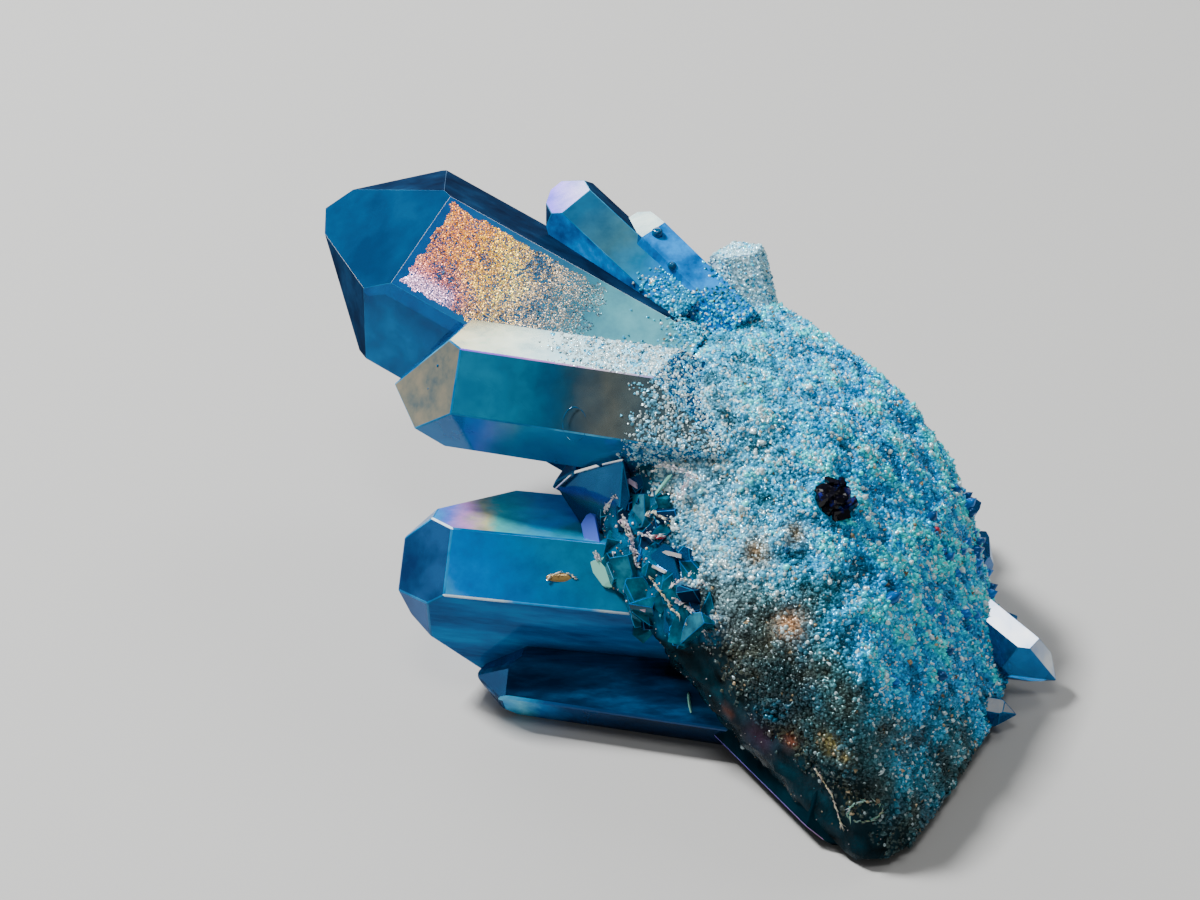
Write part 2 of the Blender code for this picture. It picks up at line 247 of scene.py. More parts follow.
def grow(name, spec):
    """One quartz point, cut out of a six-sided cylinder by the Bisect tool."""
    axis = axis_frame(spec)[0]
    girth = 2.2 * max(spec["sides"]) * MM
    length = max(tip[2] for tip in spec["tips"]) * MM + girth
    bpy.ops.object.select_all(action="DESELECT")
    bpy.ops.mesh.primitive_cylinder_add(
        vertices=6, radius=girth, depth=length,
        location=Vector(spec["foot"]) * MM + axis * length / 2,
        rotation=axis.to_track_quat("Z", "Y").to_euler())
    point = bpy.context.object
    point.name = name
    bpy.ops.object.transform_apply()
    bpy.ops.object.mode_set(mode="EDIT")
    ground = ("ground", Vector((0, 0, 0)), Vector((0, 0, -1)))
    for label, place, normal in crystal_planes(spec) + [ground]:
        bpy.ops.mesh.select_all(action="SELECT")
        bpy.ops.mesh.bisect(
            plane_co=place, plane_no=normal, use_fill=True, clear_outer=True, threshold=1e-7)
    bpy.ops.mesh.select_all(action="SELECT")
    bpy.ops.mesh.normals_make_consistent(inside=False)
    bpy.ops.object.mode_set(mode="OBJECT")
    return point


print("main point has", len(crystal_planes(CRYSTALS["main_point"])), "faces to cut")

# %% [markdown]
# The finish is what makes this stone, and every finish here is a small tree of nodes. Inside the
# quartz a Volume Absorption node takes away the red and leaves blue, more so the thicker the
# crystal. On the faces, noise and a colour ramp give drifting colours. The nodes are added by
# helpers, because the same few are needed for each of the many finishes.


# %% Material helpers
VOLUME_COLOUR = (0.0, 0.56, 0.82, 1)
VOLUME_DENSITY = 75.0
WAVE_SHARE = 0.22  # how far noise moves the borders between the colours of a coat


def new_finish(name):
    """An empty node material and its shader."""
    finish = bpy.data.materials.new(name)
    finish.use_nodes = True
    return finish, finish.node_tree.nodes["Principled BSDF"]


def set_inputs(node, values):
    """Type values into the sockets of a node, each found by its name."""
    for socket, value in values.items():
        node.inputs[socket].default_value = value


def fill_with_blue(finish):
    """Plain absorption inside the stone."""
    tree = finish.node_tree
    inside = tree.nodes.new("ShaderNodeVolumeAbsorption")
    set_inputs(inside, {"Color": VOLUME_COLOUR, "Density": VOLUME_DENSITY})
    tree.links.new(inside.outputs["Volume"], tree.nodes["Material Output"].inputs["Volume"])


def noise(tree, scale, detail=4.0, rough=0.6, stretch=(1, 1, 1)):
    """Noise on the object's own coordinates; a small stretch value draws it out along that axis."""
    where = tree.nodes.new("ShaderNodeTexCoord")
    spread = tree.nodes.new("ShaderNodeVectorMath")
    spread.operation = "MULTIPLY"
    spread.inputs[1].default_value = stretch
    tree.links.new(where.outputs["Object"], spread.inputs[0])
    grain = tree.nodes.new("ShaderNodeTexNoise")
    set_inputs(grain, {"Scale": scale, "Detail": detail, "Roughness": rough})
    tree.links.new(spread.outputs["Vector"], grain.inputs["Vector"])
    return grain


def ramp(tree, source, stops):
    """A colour ramp fed by a socket; stops are (place, colour)."""
    band = tree.nodes.new("ShaderNodeValToRGB")
    while len(band.color_ramp.elements) < len(stops):
        band.color_ramp.elements.new(0.5)
    for element, (place, colour) in zip(band.color_ramp.elements, stops):
        element.position = place
        element.color = (*colour, 1)
    tree.links.new(source, band.inputs["Fac"])
    return band


def along(tree, origin, direction, reach):
    """0 to 1 over a distance in millimetres from a point, along a direction, slightly wavy."""
    where = tree.nodes.new("ShaderNodeTexCoord")
    shift = tree.nodes.new("ShaderNodeVectorMath")
    shift.operation = "SUBTRACT"
    shift.inputs[1].default_value = Vector(origin) * MM
    tree.links.new(where.outputs["Object"], shift.inputs[0])
    dot = tree.nodes.new("ShaderNodeVectorMath")
    dot.operation = "DOT_PRODUCT"
    dot.inputs[1].default_value = Vector(direction).normalized() / (reach * MM)
    tree.links.new(shift.outputs["Vector"], dot.inputs[0])
    wave = noise(tree, 450)
    add = tree.nodes.new("ShaderNodeMath")
    add.operation = "MULTIPLY_ADD"
    add.inputs[1].default_value = WAVE_SHARE
    tree.links.new(wave.outputs["Fac"], add.inputs[0])
    tree.links.new(dot.outputs["Value"], add.inputs[2])
    less = tree.nodes.new("ShaderNodeMath")
    less.operation = "SUBTRACT"
    less.use_clamp = True
    less.inputs[1].default_value = WAVE_SHARE / 2
    tree.links.new(add.outputs[0], less.inputs[0])
    return less.outputs[0]


print("absorption inside the stone:", VOLUME_DENSITY, "per metre, colour", VOLUME_COLOUR[:3])

# %% [markdown]
# Quartz is clear, so light must go through it, and its IOR is 1.54. Every finish has its own
# Transmission, high on clear faces and low on thickly coated or shaded ones. A coat is a mix of
# colours that changes along the crystal, because a plain colour would look like painted plastic.


# %% Clear and coated finishes
QUARTZ_IOR = 1.54
COAT_SHINE = (0.20, 0.58, 1.0, 1)


def set_quartz(finish, shader, see, metal, roughness, gloss):
    """What every quartz finish shares: clear stone under a thin metal coat that reflects blue."""
    set_inputs(shader, {
        "Metallic": metal, "Roughness": roughness, "IOR": QUARTZ_IOR, "Transmission Weight": see,
        "Specular IOR Level": gloss, "Specular Tint": COAT_SHINE})
    fill_with_blue(finish)


def cloudy(name, deep, middle, bright, see=0.75, metal=0.25, roughness=0.05, size=230,
           stretch=(1, 1, 1), gloss=0.2):
    """Stone whose blue drifts between three depths; `see` is the share of light let through."""
    finish, shader = new_finish(name)
    tree = finish.node_tree
    patches = noise(tree, size, 5.0, 0.6, stretch)
    band = ramp(tree, patches.outputs["Fac"], ((0.36, deep), (0.50, middle), (0.66, bright)))
    tree.links.new(band.outputs["Color"], shader.inputs["Base Color"])
    set_quartz(finish, shader, see, metal, roughness, gloss)
    return finish


def coated(name, origin, direction, reach, stops, roughness=0.16, metal=0.75, see=0.4, gloss=0.2):
    """A thicker metal coat whose colour changes along the crystal, a little patchy."""
    finish, shader = new_finish(name)
    tree = finish.node_tree
    band = ramp(tree, along(tree, origin, direction, reach), stops)
    patchy = noise(tree, 520, 5.0, 0.65)
    patches = ramp(tree, patchy.outputs["Fac"], ((0.30, (0.55, 0.62, 0.70)), (0.70, (1, 1, 1))))
    mixed = tree.nodes.new("ShaderNodeMix")
    mixed.data_type = "RGBA"
    mixed.blend_type = "MULTIPLY"
    mixed.inputs["Factor"].default_value = 1.0
    tree.links.new(band.outputs["Color"], mixed.inputs["A"])
    tree.links.new(patches.outputs["Color"], mixed.inputs["B"])
    tree.links.new(mixed.outputs["Result"], shader.inputs["Base Color"])
    set_quartz(finish, shader, see, metal, roughness, gloss)
    return finish


FINISHES = [
    cloudy("clear_blue", (0.0, 0.10, 0.34), (0.0, 0.18, 0.52), (0.01, 0.32, 0.80), size=170),
    # bevel finish paler than the clear blue: a painted highlight on the edges
    cloudy("edge_painted_highlight", (0.0, 0.14, 0.36), (0.01, 0.24, 0.52), (0.10, 0.50, 0.80), see=0.3, metal=0.15),
    coated("gold_coat", (-22.0, 13.5, 31.0), (0.849, -0.451, -0.276), 18, (
        (0.0, (0.0, 0.06, 0.22)), (0.30, (0.01, 0.08, 0.22)), (0.60, (0.02, 0.12, 0.22)),
        (0.78, (0.04, 0.20, 0.26)), (1.0, (0.11, 0.40, 0.44))),
        roughness=0.3, metal=0.1, see=0.2, gloss=0.05),
    coated("white_gold_coat", (-19.5, 4.5, 28.3), (0.966, -0.259, 0), 16, (
        (0.0, (0.95, 0.80, 0.42)), (0.25, (0.86, 0.86, 0.56)), (0.6, (0.60, 0.78, 0.72)),
        (1.0, (0.30, 0.62, 0.72))), roughness=0.22, metal=0.85),
    coated("rainbow_coat", (-20.5, -3.0, 15.0), (1, 0, 0.1), 14, (
        (0.0, (0.02, 0.45, 1.0)), (0.08, (0.22, 0.28, 1.0)), (0.18, (0.90, 0.42, 0.85)),
        (0.28, (0.80, 0.76, 0.36)), (0.38, (0.10, 0.74, 0.60)), (0.62, (0.01, 0.50, 0.72)),
        (1.0, (0.01, 0.34, 0.64))), metal=0.4, see=0.1),
    # a painted glow: the face brightens to pale blue toward its far end, as if lit from within
    coated("painted_glow_coat", (-6.5, -6.0, 17.0), (-0.80, -0.25, -0.50), 15, (
        (0.0, (0.0, 0.20, 0.34)), (0.30, (0.0, 0.24, 0.46)), (0.60, (0.0, 0.21, 0.60)),
        (0.85, (0.0, 0.27, 0.85)), (1.0, (0.08, 0.60, 1.0))), metal=0.12, see=0.4, roughness=0.06),
    coated("pearl_coat", (-11.0, 18.5, 31.0), (1, 0, -0.3), 5, (
        (0.0, (0.30, 0.16, 0.80)), (0.30, (0.62, 0.45, 0.85)), (0.7, (0.70, 0.70, 0.74)),
        (1.0, (0.66, 0.68, 0.52))), see=0.2, metal=0.85, roughness=0.18),
    cloudy("snow_coat", (0.45, 0.56, 0.78), (0.62, 0.70, 0.84), (0.80, 0.84, 0.88), see=0.2, metal=0.8,
           roughness=0.16, size=500),
    cloudy("grey_coat", (0.14, 0.19, 0.21), (0.27, 0.28, 0.23), (0.38, 0.34, 0.25), see=0.3, metal=0.5,
           roughness=0.16, size=420),
    cloudy("dark_coat", (0.01, 0.05, 0.19), (0.01, 0.09, 0.28), (0.03, 0.15, 0.42), see=0.5, metal=0.35),
    cloudy("deep_azure", (0.0, 0.07, 0.22), (0.0, 0.105, 0.30), (0.01, 0.16, 0.40), see=0.5,
           metal=0.30, size=140),
    cloudy("shaded_azure", (0.003, 0.010, 0.030), (0.004, 0.018, 0.052), (0.007, 0.036, 0.095),
           see=0.015, metal=0.0, roughness=0.20, gloss=0.0),
    coated("teal_coat", (-18.0, -1.0, 25.0), (0.96, -0.2, 0.0), 15, (
        (0.0, (0.02, 0.46, 0.80)), (0.30, (0.01, 0.38, 0.66)), (0.46, (0.01, 0.20, 0.42)),
        (0.60, (0.07, 0.18, 0.26)), (0.80, (0.24, 0.27, 0.24)), (1.0, (0.20, 0.30, 0.32))),
        see=0.6, metal=0.3, roughness=0.07),
    cloudy("deep_streaks", (0.0, 0.065, 0.24), (0.0, 0.135, 0.42), (0.0, 0.25, 0.62), see=0.2, metal=0.05,
           size=520, stretch=(0.12, 1, 1), gloss=0.05),
    # darker copy of deep_streaks for the ground point: painted shade where it lies under the low point
    cloudy("ground_streaks_painted_shade", (0.0, 0.014, 0.055), (0.0, 0.040, 0.13), (0.0, 0.12, 0.34), see=0.2, metal=0.05,
           size=520, stretch=(0.12, 1, 1), gloss=0.05),
    # a painted glow: a bright blue band along one face of the ground point, where light comes through
    coated("ground_painted_glow", (-16.5, 0.0, 0.0), (1, 0, 0), 12, (
        (0.0, (0.0, 0.12, 0.36)), (0.10, (0.03, 0.42, 0.95)), (0.25, (0.20, 0.75, 1.0)),
        (0.40, (0.0, 0.22, 0.62)), (0.60, (0.0, 0.05, 0.17)), (1.0, (0.0, 0.018, 0.06))),
        see=0.0, metal=0.0),
    cloudy("dark_glass", (0.0, 0.006, 0.010), (0.001, 0.010, 0.017), (0.002, 0.018, 0.028), see=0.03,
           metal=0.0, roughness=0.2, gloss=0.0),
    cloudy("chip_teal", (0.0, 0.04, 0.075), (0.0, 0.09, 0.15), (0.01, 0.18, 0.26), see=0.3,
           metal=0.15, size=700),
    coated("violet_edge", (-19.0, 0.0, 0.0), (1, 0, 0), 29, (
        (0.0, (0.20, 0.10, 0.85)), (0.25, (0.55, 0.22, 0.62)), (0.45, (0.62, 0.52, 0.60)),
        (0.80, (0.30, 0.18, 1.0)), (0.90, (0.45, 0.22, 1.0)), (1.0, (1.0, 0.50, 0.95))), see=0.0, metal=0.0),
    # a painted highlight: near white at one end of the edge, then a painted blue glow
    coated("edge_painted_highlight_and_glow", (-20.5, 0.0, 0.0), (1, 0, 0), 14, (
        (0.0, (0.80, 0.95, 1.0)), (0.40, (0.75, 0.95, 1.0)), (0.48, (0.02, 0.36, 0.85)),
        (0.9, (0.02, 0.36, 0.80)), (1.0, (0.45, 0.55, 0.60))), see=0.0, metal=0.0),
    # a painted glow: a bright blue streak along the ground point's lower edges
    coated("edge_painted_glow", (-17.5, 0.0, 0.0), (1, 0, 0), 10, (
        (0.0, (0.0, 0.30, 0.75)), (0.15, (0.15, 0.75, 1.0)), (0.45, (0.02, 0.50, 1.0)),
        (0.6, (0.0, 0.10, 0.34)), (1.0, (0.0, 0.05, 0.18))), see=0.0, metal=0.0),
    cloudy("frost_coat", (0.20, 0.55, 0.78), (0.45, 0.76, 0.92), (0.75, 0.92, 1.0), see=0.0, metal=0.3,
           roughness=0.3, size=900),
    cloudy("faint_edge", (0.0, 0.08, 0.24), (0.0, 0.14, 0.38), (0.01, 0.26, 0.58), see=0.3, metal=0.1),
    # a painted highlight: near-white lines along the main point's edges
    cloudy("pale_edge_painted_highlight", (0.50, 0.70, 0.80), (0.75, 0.85, 0.85), (0.95, 0.92, 0.95), see=0.0,
           metal=0.2, size=600),
    cloudy("low_azure", (0.0, 0.22, 0.62), (0.0, 0.30, 0.76), (0.01, 0.42, 0.92), see=0.6,
           metal=0.1, size=130),
    coated("speckled_azure", (-10.0, 18.0, 30.0), (0.72, -0.66, -0.2), 13, (
        (0.0, (0.01, 0.10, 0.20)), (0.35, (0.04, 0.14, 0.19)), (0.55, (0.01, 0.17, 0.32)),
        (0.75, (0.0, 0.20, 0.55)), (1.0, (0.02, 0.24, 0.40))), see=0.03, metal=0.0, roughness=0.14,
        gloss=0.0),
    # brighter copy of shaded_azure for faces in the light: painted light
    cloudy("lit_azure_painted_light", (0.0, 0.06, 0.24), (0.0, 0.14, 0.46), (0.0, 0.28, 0.80), see=0.05,
           metal=0.0, size=420, gloss=0.02),
]
FINISH_INDEX = {finish.name: index for index, finish in enumerate(FINISHES)}
print(len(FINISHES), "finishes:", ", ".join(FINISH_INDEX))

# %% [markdown]
# The metal coat settles unevenly, so one face is gold and its neighbour dark blue. The faces with a
# coat of their own are named here by their place on the crystal, and so are the edges between two
# faces. Names were chosen over painting faces by hand, because they stay right when a crystal moves.

# %% Coats on single faces
EVERY_FACE = "side0 side1 side2 side3 side4 side5 tip0 tip1 tip2 tip3 tip4"
# Some of these are painted light: the glow coats paint light coming through a face, the bright azure faces
# are a lit copy of the shaded ones, and the ground point's streaks paint shade.
COATS = {
    "main_point": {"gold_coat": "side0", "deep_azure": "tip0", "shaded_azure": "side1 tip1 tip2 tip3"},
    "middle_point": {"white_gold_coat": "side1", "grey_coat": "tip0", "teal_coat": "side0",
                     "shaded_azure": "tip1", "low_azure": "side4 side5"},
    "low_point": {"rainbow_coat": "side1", "painted_glow_coat": "side0", "dark_coat": "tip0 tip1",
                  "deep_streaks": "side4 side5"},
    "upper_point": {"pearl_coat": "tip0", "speckled_azure": "side0", "shaded_azure": "side1 tip1",
                    "lit_azure_painted_light": "side5"},
    "beaded_point": {"pearl_coat": "tip0", "lit_azure_painted_light": "side0 side5", "shaded_azure": "side1"},
    "right_point": {"snow_coat": "side0 tip0"},
    "right_low_point": {"snow_coat": "side0 tip0"},
    "sugared_stub": {"frost_coat": EVERY_FACE},
    "ground_point": {"ground_streaks_painted_shade": "side0 side1 side2 side3 side5", "ground_painted_glow": "side4"},
    "blade": {"dark_coat": "side0 tip0"},
    "front_wedge": {"dark_glass": EVERY_FACE},
}
FINE_EDGE = 0.05  # width in millimetres of the bevel on a crystal that isn't in the next table
EDGE_WIDTH = {"main_point": 0.08, "middle_point": 0.10, "low_point": 0.13, "front_wedge": 0.60,
              "blade": 0.18, "ground_point": 0.24}
# the bevels of these crystals get the bright edge finish, a painted highlight
BRIGHT_EDGED = ("main_point", "middle_point", "upper_point", "beaded_point")
DARK_EDGED = {"front_wedge": "dark_glass", "ground_point": "ground_streaks_painted_shade"}
# the white, pale and glowing edge finishes are painted highlights and painted glows
EDGE_COATS = (  # the crystal, the two faces that meet in the edge, and its finish
    ("front_wedge", "side1", "side2", "violet_edge"), ("middle_point", "side0", "side1", "violet_edge"),
    ("low_point", "side0", "side5", "edge_painted_highlight_and_glow"), ("low_point", "tip0", "side1", "edge_painted_highlight_and_glow"),
    ("ground_point", "side4", "side5", "edge_painted_glow"), ("ground_point", "tip5", "side4", "edge_painted_glow"),
    ("blade", "side0", "side1", "edge_painted_highlight_and_glow"), ("main_point", "tip0", "tip1", "pale_edge_painted_highlight"),
    ("main_point", "tip0", "side0", "pale_edge_painted_highlight"), ("main_point", "side0", "side1", "pale_edge_painted_highlight"),
)
print("coats on", len(COATS), "crystals and on", len(EDGE_COATS), "edges")

# %% [markdown]
# Each crystal is grown, its faces are matched to the planes that cut them, and a small Bevel breaks
# the edges. The bevel matters: on a real crystal every edge catches a thin bright line, and here the
# bevels of four points get a paler finish than their faces, a painted highlight, while some edges
# carry painted highlights and painted glows of their own. Then the crystals are fused with a Boolean
# union, because light that passes two overlapping clear bodies would bend at walls that aren't there
# in stone that grew together.


# %% Grow and fuse the crystals
SAME_WAY = 0.9995  # two faces point the same way if the cosine between them is above this


def lay_coats(point, name, spec):
    """Give each face the finish that its plane names."""
    for finish in FINISHES:
        point.data.materials.append(finish)
    coats = {label: coat for coat, labels in COATS.get(name, {}).items() for label in labels.split()}
    named = [(normal, coats[label]) for label, place, normal in crystal_planes(spec) if label in coats]
    for polygon in point.data.polygons:
        for normal, finish_name in named:
            if polygon.normal.dot(normal) > SAME_WAY:
                polygon.material_index = FINISH_INDEX[finish_name]


def select_only(*chosen):
    """Select some objects and nothing else; the first of them becomes the active one."""
    bpy.ops.object.select_all(action="DESELECT")
    for obj in chosen:
        obj.select_set(True)
    bpy.context.view_layer.objects.active = chosen[0]


def modifier(obj, kind, **settings):
    """Add a modifier, set it and apply it."""
    added = obj.modifiers.new(kind.lower(), kind)
    for key, value in settings.items():
        setattr(added, key, value)
    select_only(obj)
    bpy.ops.object.modifier_apply(modifier=added.name)


def edge_finish(name):
    """The finish of a crystal's bevelled edges where no other is named."""
    if name in DARK_EDGED:
        return DARK_EDGED[name]
    # the bright bevel finish is a painted highlight
    return "edge_painted_highlight" if name in BRIGHT_EDGED else "faint_edge"


def coat_edges(point, name, spec):
    """Give the bevels between named faces their own finishes."""
    faces = {label: (place, normal) for label, place, normal in crystal_planes(spec)}
    plain = FINISH_INDEX[edge_finish(name)]
    for crystal, first, second, finish_name in EDGE_COATS:
        if crystal != name:
            continue
        for polygon in point.data.polygons:
            gaps = [abs((polygon.center - faces[side][0]).dot(faces[side][1])) for side in (first, second)]
            if polygon.material_index == plain and max(gaps) < 1.5 * EDGE_WIDTH[name] * MM:
                polygon.material_index = FINISH_INDEX[finish_name]


clear_points = None
for crystal_name, crystal_spec in CRYSTALS.items():
    grown = grow(crystal_name, crystal_spec)
    lay_coats(grown, crystal_name, crystal_spec)
    modifier(grown, "BEVEL", width=EDGE_WIDTH.get(crystal_name, FINE_EDGE) * MM, segments=2,
             limit_method="ANGLE", angle_limit=math.radians(12), use_clamp_overlap=True,
             material=FINISH_INDEX[edge_finish(crystal_name)])
    coat_edges(grown, crystal_name, crystal_spec)
    if clear_points is None:
        clear_points = grown
        clear_points.name = "clear_points"
        continue
    modifier(clear_points, "BOOLEAN", operation="UNION", solver="EXACT", object=grown)
    bpy.data.objects.remove(grown)
clear_points.data.validate()  # drops a doubled sliver that the union leaves
print("clear points:", len(clear_points.data.polygons), "faces")
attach(clear_points, "root")
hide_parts("quartz_cluster")

# %% [markdown]
# The druse is a rounded mass under its crystals. It could be sculpted, but its outline is known
# from a few dozen corner points in millimetres, and these keep it exactly where it was measured.

# %% Corners of the druse
BODY_CENTRE = (11.6, -4.7, 10.5)
BODY_CORNERS = (
    # upper rim, from the stub round to the right
    (1.5, 13.5, 23.6), (5.1, 17.3, 22.8), (7.7, 16.2, 23.8), (10.3, 13.7, 23.6), (14.0, 10.3, 22.3),
    (18.3, 7.7, 20.0), (20.9, 5.8, 17.1), (23.7, 3.5, 13.0), (24.3, 2.3, 9.8), (23.0, 0.1, 6.6),
    (25.5, -2.1, 3.0), (27.0, -7.6, 1.0), (25.0, -13.3, 0.0), (22.9, -17.7, 0.1), (19.8, -21.3, 0.2),
    # front foot
    (18.7, -25.7, 0.4), (15.3, -29.5, 0.0), (13.1, -29.1, 0.0), (10.1, -24.6, 0.2), (5.0, -16.1, 0.5),
    # dome turned to the front
    (1.7, 0.3, 27.9), (1.4, -3.3, 27.0), (1.4, -5.8, 24.9), (1.9, -7.2, 23.0), (5.9, -3.3, 25.4),
    (11.1, -8.2, 22.4), (16.8, -11.0, 16.6), (10.0, -17.6, 17.8), (5.6, -12.6, 18.0), (12.3, -25.3, 11.8),
    (7.0, -19.9, 10.2), (19.7, -17.6, 7.7), (5.1, 11.5, 24.6), (7.1, 12.5, 24.4), (11.3, -2.3, 24.4),
    (16.5, -1.3, 20.9), (21.5, -2.3, 15.4), (9.7, -20.1, 5.0), (12.3, -27.1, 2.6),
    # left flank, where the large points come out
    (-7.0, -5.1, 17.0), (-6.5, -9.9, 13.9), (-2.6, -13.3, 11.0), (-3.8, -4.1, 20.6), (-4.3, -7.9, 17.4),
    (1.0, -10.7, 11.7), (-2.9, -6.8, 6.3), (-4.4, 1.8, 15.0), (1.1, 5.8, 5.0), (-1.9, -0.7, 5.0),
    # back and underside
    (3.1, 18.8, 18.0), (7.1, 20.3, 15.0), (13.1, 17.8, 13.0), (19.1, 14.3, 10.0), (22.6, 9.8, 6.0),
    (24.5, 4.3, 2.5), (5.1, 15.8, 7.0), (13.1, 13.8, 1.0), (19.1, 11.8, -0.4), (18.1, 6.3, -0.6),
    (11.1, 7.8, -0.5),
)
print(len(BODY_CORNERS), "corners")

# %% [markdown]
# The corners are wrapped in a convex hull, and a fine ball placed inside is blown up onto the hull
# with a Shrinkwrap modifier. A ball gives even, small faces, which the hull alone would not. Smooth
# rounds its ridges, and a Displace with a clouds texture adds the low lumps that druse always has.
# Underneath, the mass stands on two footings and arches a little between them.


# %% Blow a ball up onto the corners
FOOTINGS = ((13.3, -25.2), (18.7, 8.9))
ARCH = 1.0
ARCH_REACH = 7.0
LOWEST = 0.05


def mesh_arrays(obj):
    """Corner places in millimetres and the corner numbers of each triangle."""
    mesh = obj.data
    mesh.calc_loop_triangles()
    points = np.empty(len(mesh.vertices) * 3)
    mesh.vertices.foreach_get("co", points)
    triangles = np.empty(len(mesh.loop_triangles) * 3, dtype=np.int32)
    mesh.loop_triangles.foreach_get("vertices", triangles)
    return points.reshape(-1, 3) / MM, triangles.reshape(-1, 3)


def lift_arch(obj):
    """Between its footings the underside stands clear of the ground."""
    for vertex in obj.data.vertices:
        spot = (vertex.co.x / MM, vertex.co.y / MM)
        nearest = min(math.dist(spot, footing) for footing in FOOTINGS)
        share = min(1.0, nearest / ARCH_REACH)
        down = max(0.0, -vertex.normal.z)
        vertex.co.z = max(LOWEST * MM, vertex.co.z + ARCH * share * share * (3 - 2 * share) * down * MM)


def hull_of(name, corners):
    """The convex hull around some corner points given in millimetres."""
    mesh = bpy.data.meshes.new(name)
    mesh.from_pydata([[value * MM for value in corner] for corner in corners], [], [])
    hull = bpy.data.objects.new(name, mesh)
    bpy.context.scene.collection.objects.link(hull)
    select_only(hull)
    bpy.ops.object.mode_set(mode="EDIT")
    bpy.ops.mesh.select_all(action="SELECT")
    bpy.ops.mesh.convex_hull()
    bpy.ops.object.mode_set(mode="OBJECT")
    return hull


def push_out(obj, texture, strength, middle=0.5):
    """Displace an object by a texture, with the strength in millimetres."""
    modifier(obj, "DISPLACE", texture=texture, texture_coords="LOCAL", strength=strength * MM,
             mid_level=middle)


def new_texture(name, kind, size, depth=None):
    """A texture for push_out; size is in metres, depth is how many finer layers are added."""
    texture = bpy.data.textures.new(name, kind)
    texture.noise_scale = size
    if depth is not None:
        texture.noise_depth = depth
    return texture


corner_hull = hull_of("corner_hull", BODY_CORNERS)
bpy.ops.object.select_all(action="DESELECT")
bpy.ops.mesh.primitive_ico_sphere_add(subdivisions=6, radius=3 * MM, location=Vector(BODY_CENTRE) * MM)
druse_base = bpy.context.object
druse_base.name = "druse_base"
bpy.ops.object.transform_apply()
modifier(druse_base, "SHRINKWRAP", target=corner_hull, wrap_method="PROJECT", use_positive_direction=True)
bpy.data.objects.remove(corner_hull)
modifier(druse_base, "SMOOTH", factor=0.5, iterations=5)
smooth_points = mesh_arrays(druse_base)[0]
smooth_normals = np.array([vertex.normal[:] for vertex in druse_base.data.vertices])
push_out(druse_base, new_texture("lumps", "CLOUDS", 0.0022, 3), 1.05, 0.45)
push_out(druse_base, new_texture("grit", "CLOUDS", 0.0008, 2), 0.55)
base_crest = ((mesh_arrays(druse_base)[0] - smooth_points) * smooth_normals).sum(axis=1)
base_crest -= base_crest.mean()
lift_arch(druse_base)
bpy.ops.object.shade_smooth()
print("druse base spans", [round(side / MM, 1) for side in druse_base.dimensions], "mm")

# %% [markdown]
# Druse is thousands of tiny points like the big ones, packed side by side and never quite parallel.
# One grain is modelled: a six-sided cylinder and a six-sided cone, joined and merged. The
# finest sugar makes do with a bare five-sided cone, because its prism would never be seen.


# %% Model one grain
def take_pattern(obj):
    """The points and faces of a finished object, which is removed."""
    points = np.array([vertex.co[:] for vertex in obj.data.vertices])
    faces = [list(polygon.vertices) for polygon in obj.data.polygons]
    bpy.data.objects.remove(obj)
    return points, faces


bpy.ops.object.select_all(action="DESELECT")
bpy.ops.mesh.primitive_cone_add(
    vertices=6, radius1=1, depth=0.8, end_fill_type="NOTHING", location=(0, 0, 1.0))
grain_tip = bpy.context.object
bpy.ops.mesh.primitive_cylinder_add(
    vertices=6, radius=1, depth=1, end_fill_type="NOTHING", location=(0, 0, 0.1))
grain = bpy.context.object
grain_tip.select_set(True)
bpy.ops.object.join()
bpy.ops.object.transform_apply()
bpy.ops.object.mode_set(mode="EDIT")
bpy.ops.mesh.select_all(action="SELECT")
bpy.ops.mesh.remove_doubles(threshold=0.01)
bpy.ops.object.mode_set(mode="OBJECT")
GRAIN_PATTERN = take_pattern(grain)
bpy.ops.object.select_all(action="DESELECT")
bpy.ops.mesh.primitive_cone_add(
    vertices=5, radius1=1, depth=1.3, end_fill_type="NOTHING", location=(0, 0, 0.35))
bpy.ops.object.transform_apply()
FACET_PATTERN = take_pattern(bpy.context.object)
print("a grain has", len(GRAIN_PATTERN[1]), "faces and a sugar tip", len(FACET_PATTERN[1]))


# %% [markdown]
# Real druse covers every free spot and leaves none inside a large crystal. So the spots are drawn
# at random over a surface, thinned until none crowd together, and tested against the planes of the
# crystals. All distances here are in millimetres.


# %% Scatter helpers
FAR_INSIDE = -1e9
FULL_TURN = 6.28


def sample(obj, count, rng, field=None):
    """Even random points on a surface, with the face normal and a field's value at each."""
    points, triangles = mesh_arrays(obj)
    corners = points[triangles]
    cross = np.cross(corners[:, 1] - corners[:, 0], corners[:, 2] - corners[:, 0])
    area = np.linalg.norm(cross, axis=1)
    pick = rng.choice(len(area), size=count, p=area / area.sum())
    u, v = rng.random(count), rng.random(count)
    fold = u + v > 1
    u[fold], v[fold] = 1 - u[fold], 1 - v[fold]
    a, b, c = corners[pick, 0], corners[pick, 1], corners[pick, 2]
    places, normals = a + (b - a) * u[:, None] + (c - a) * v[:, None], cross[pick] / area[pick][:, None]
    if field is None:
        return places, normals
    held = field[triangles[pick]]
    return places, normals, held[:, 0] * (1 - u - v) + held[:, 1] * u + held[:, 2] * v


def thin_out(points, spacing):
    """Indices that leave one point in each small cube of space."""
    cells = np.floor(points / spacing).astype(np.int64)
    return np.unique(cells, axis=0, return_index=True)[1]


def only(wanted, *arrays):
    """The same rows out of several arrays."""
    return [rows[wanted] for rows in arrays]


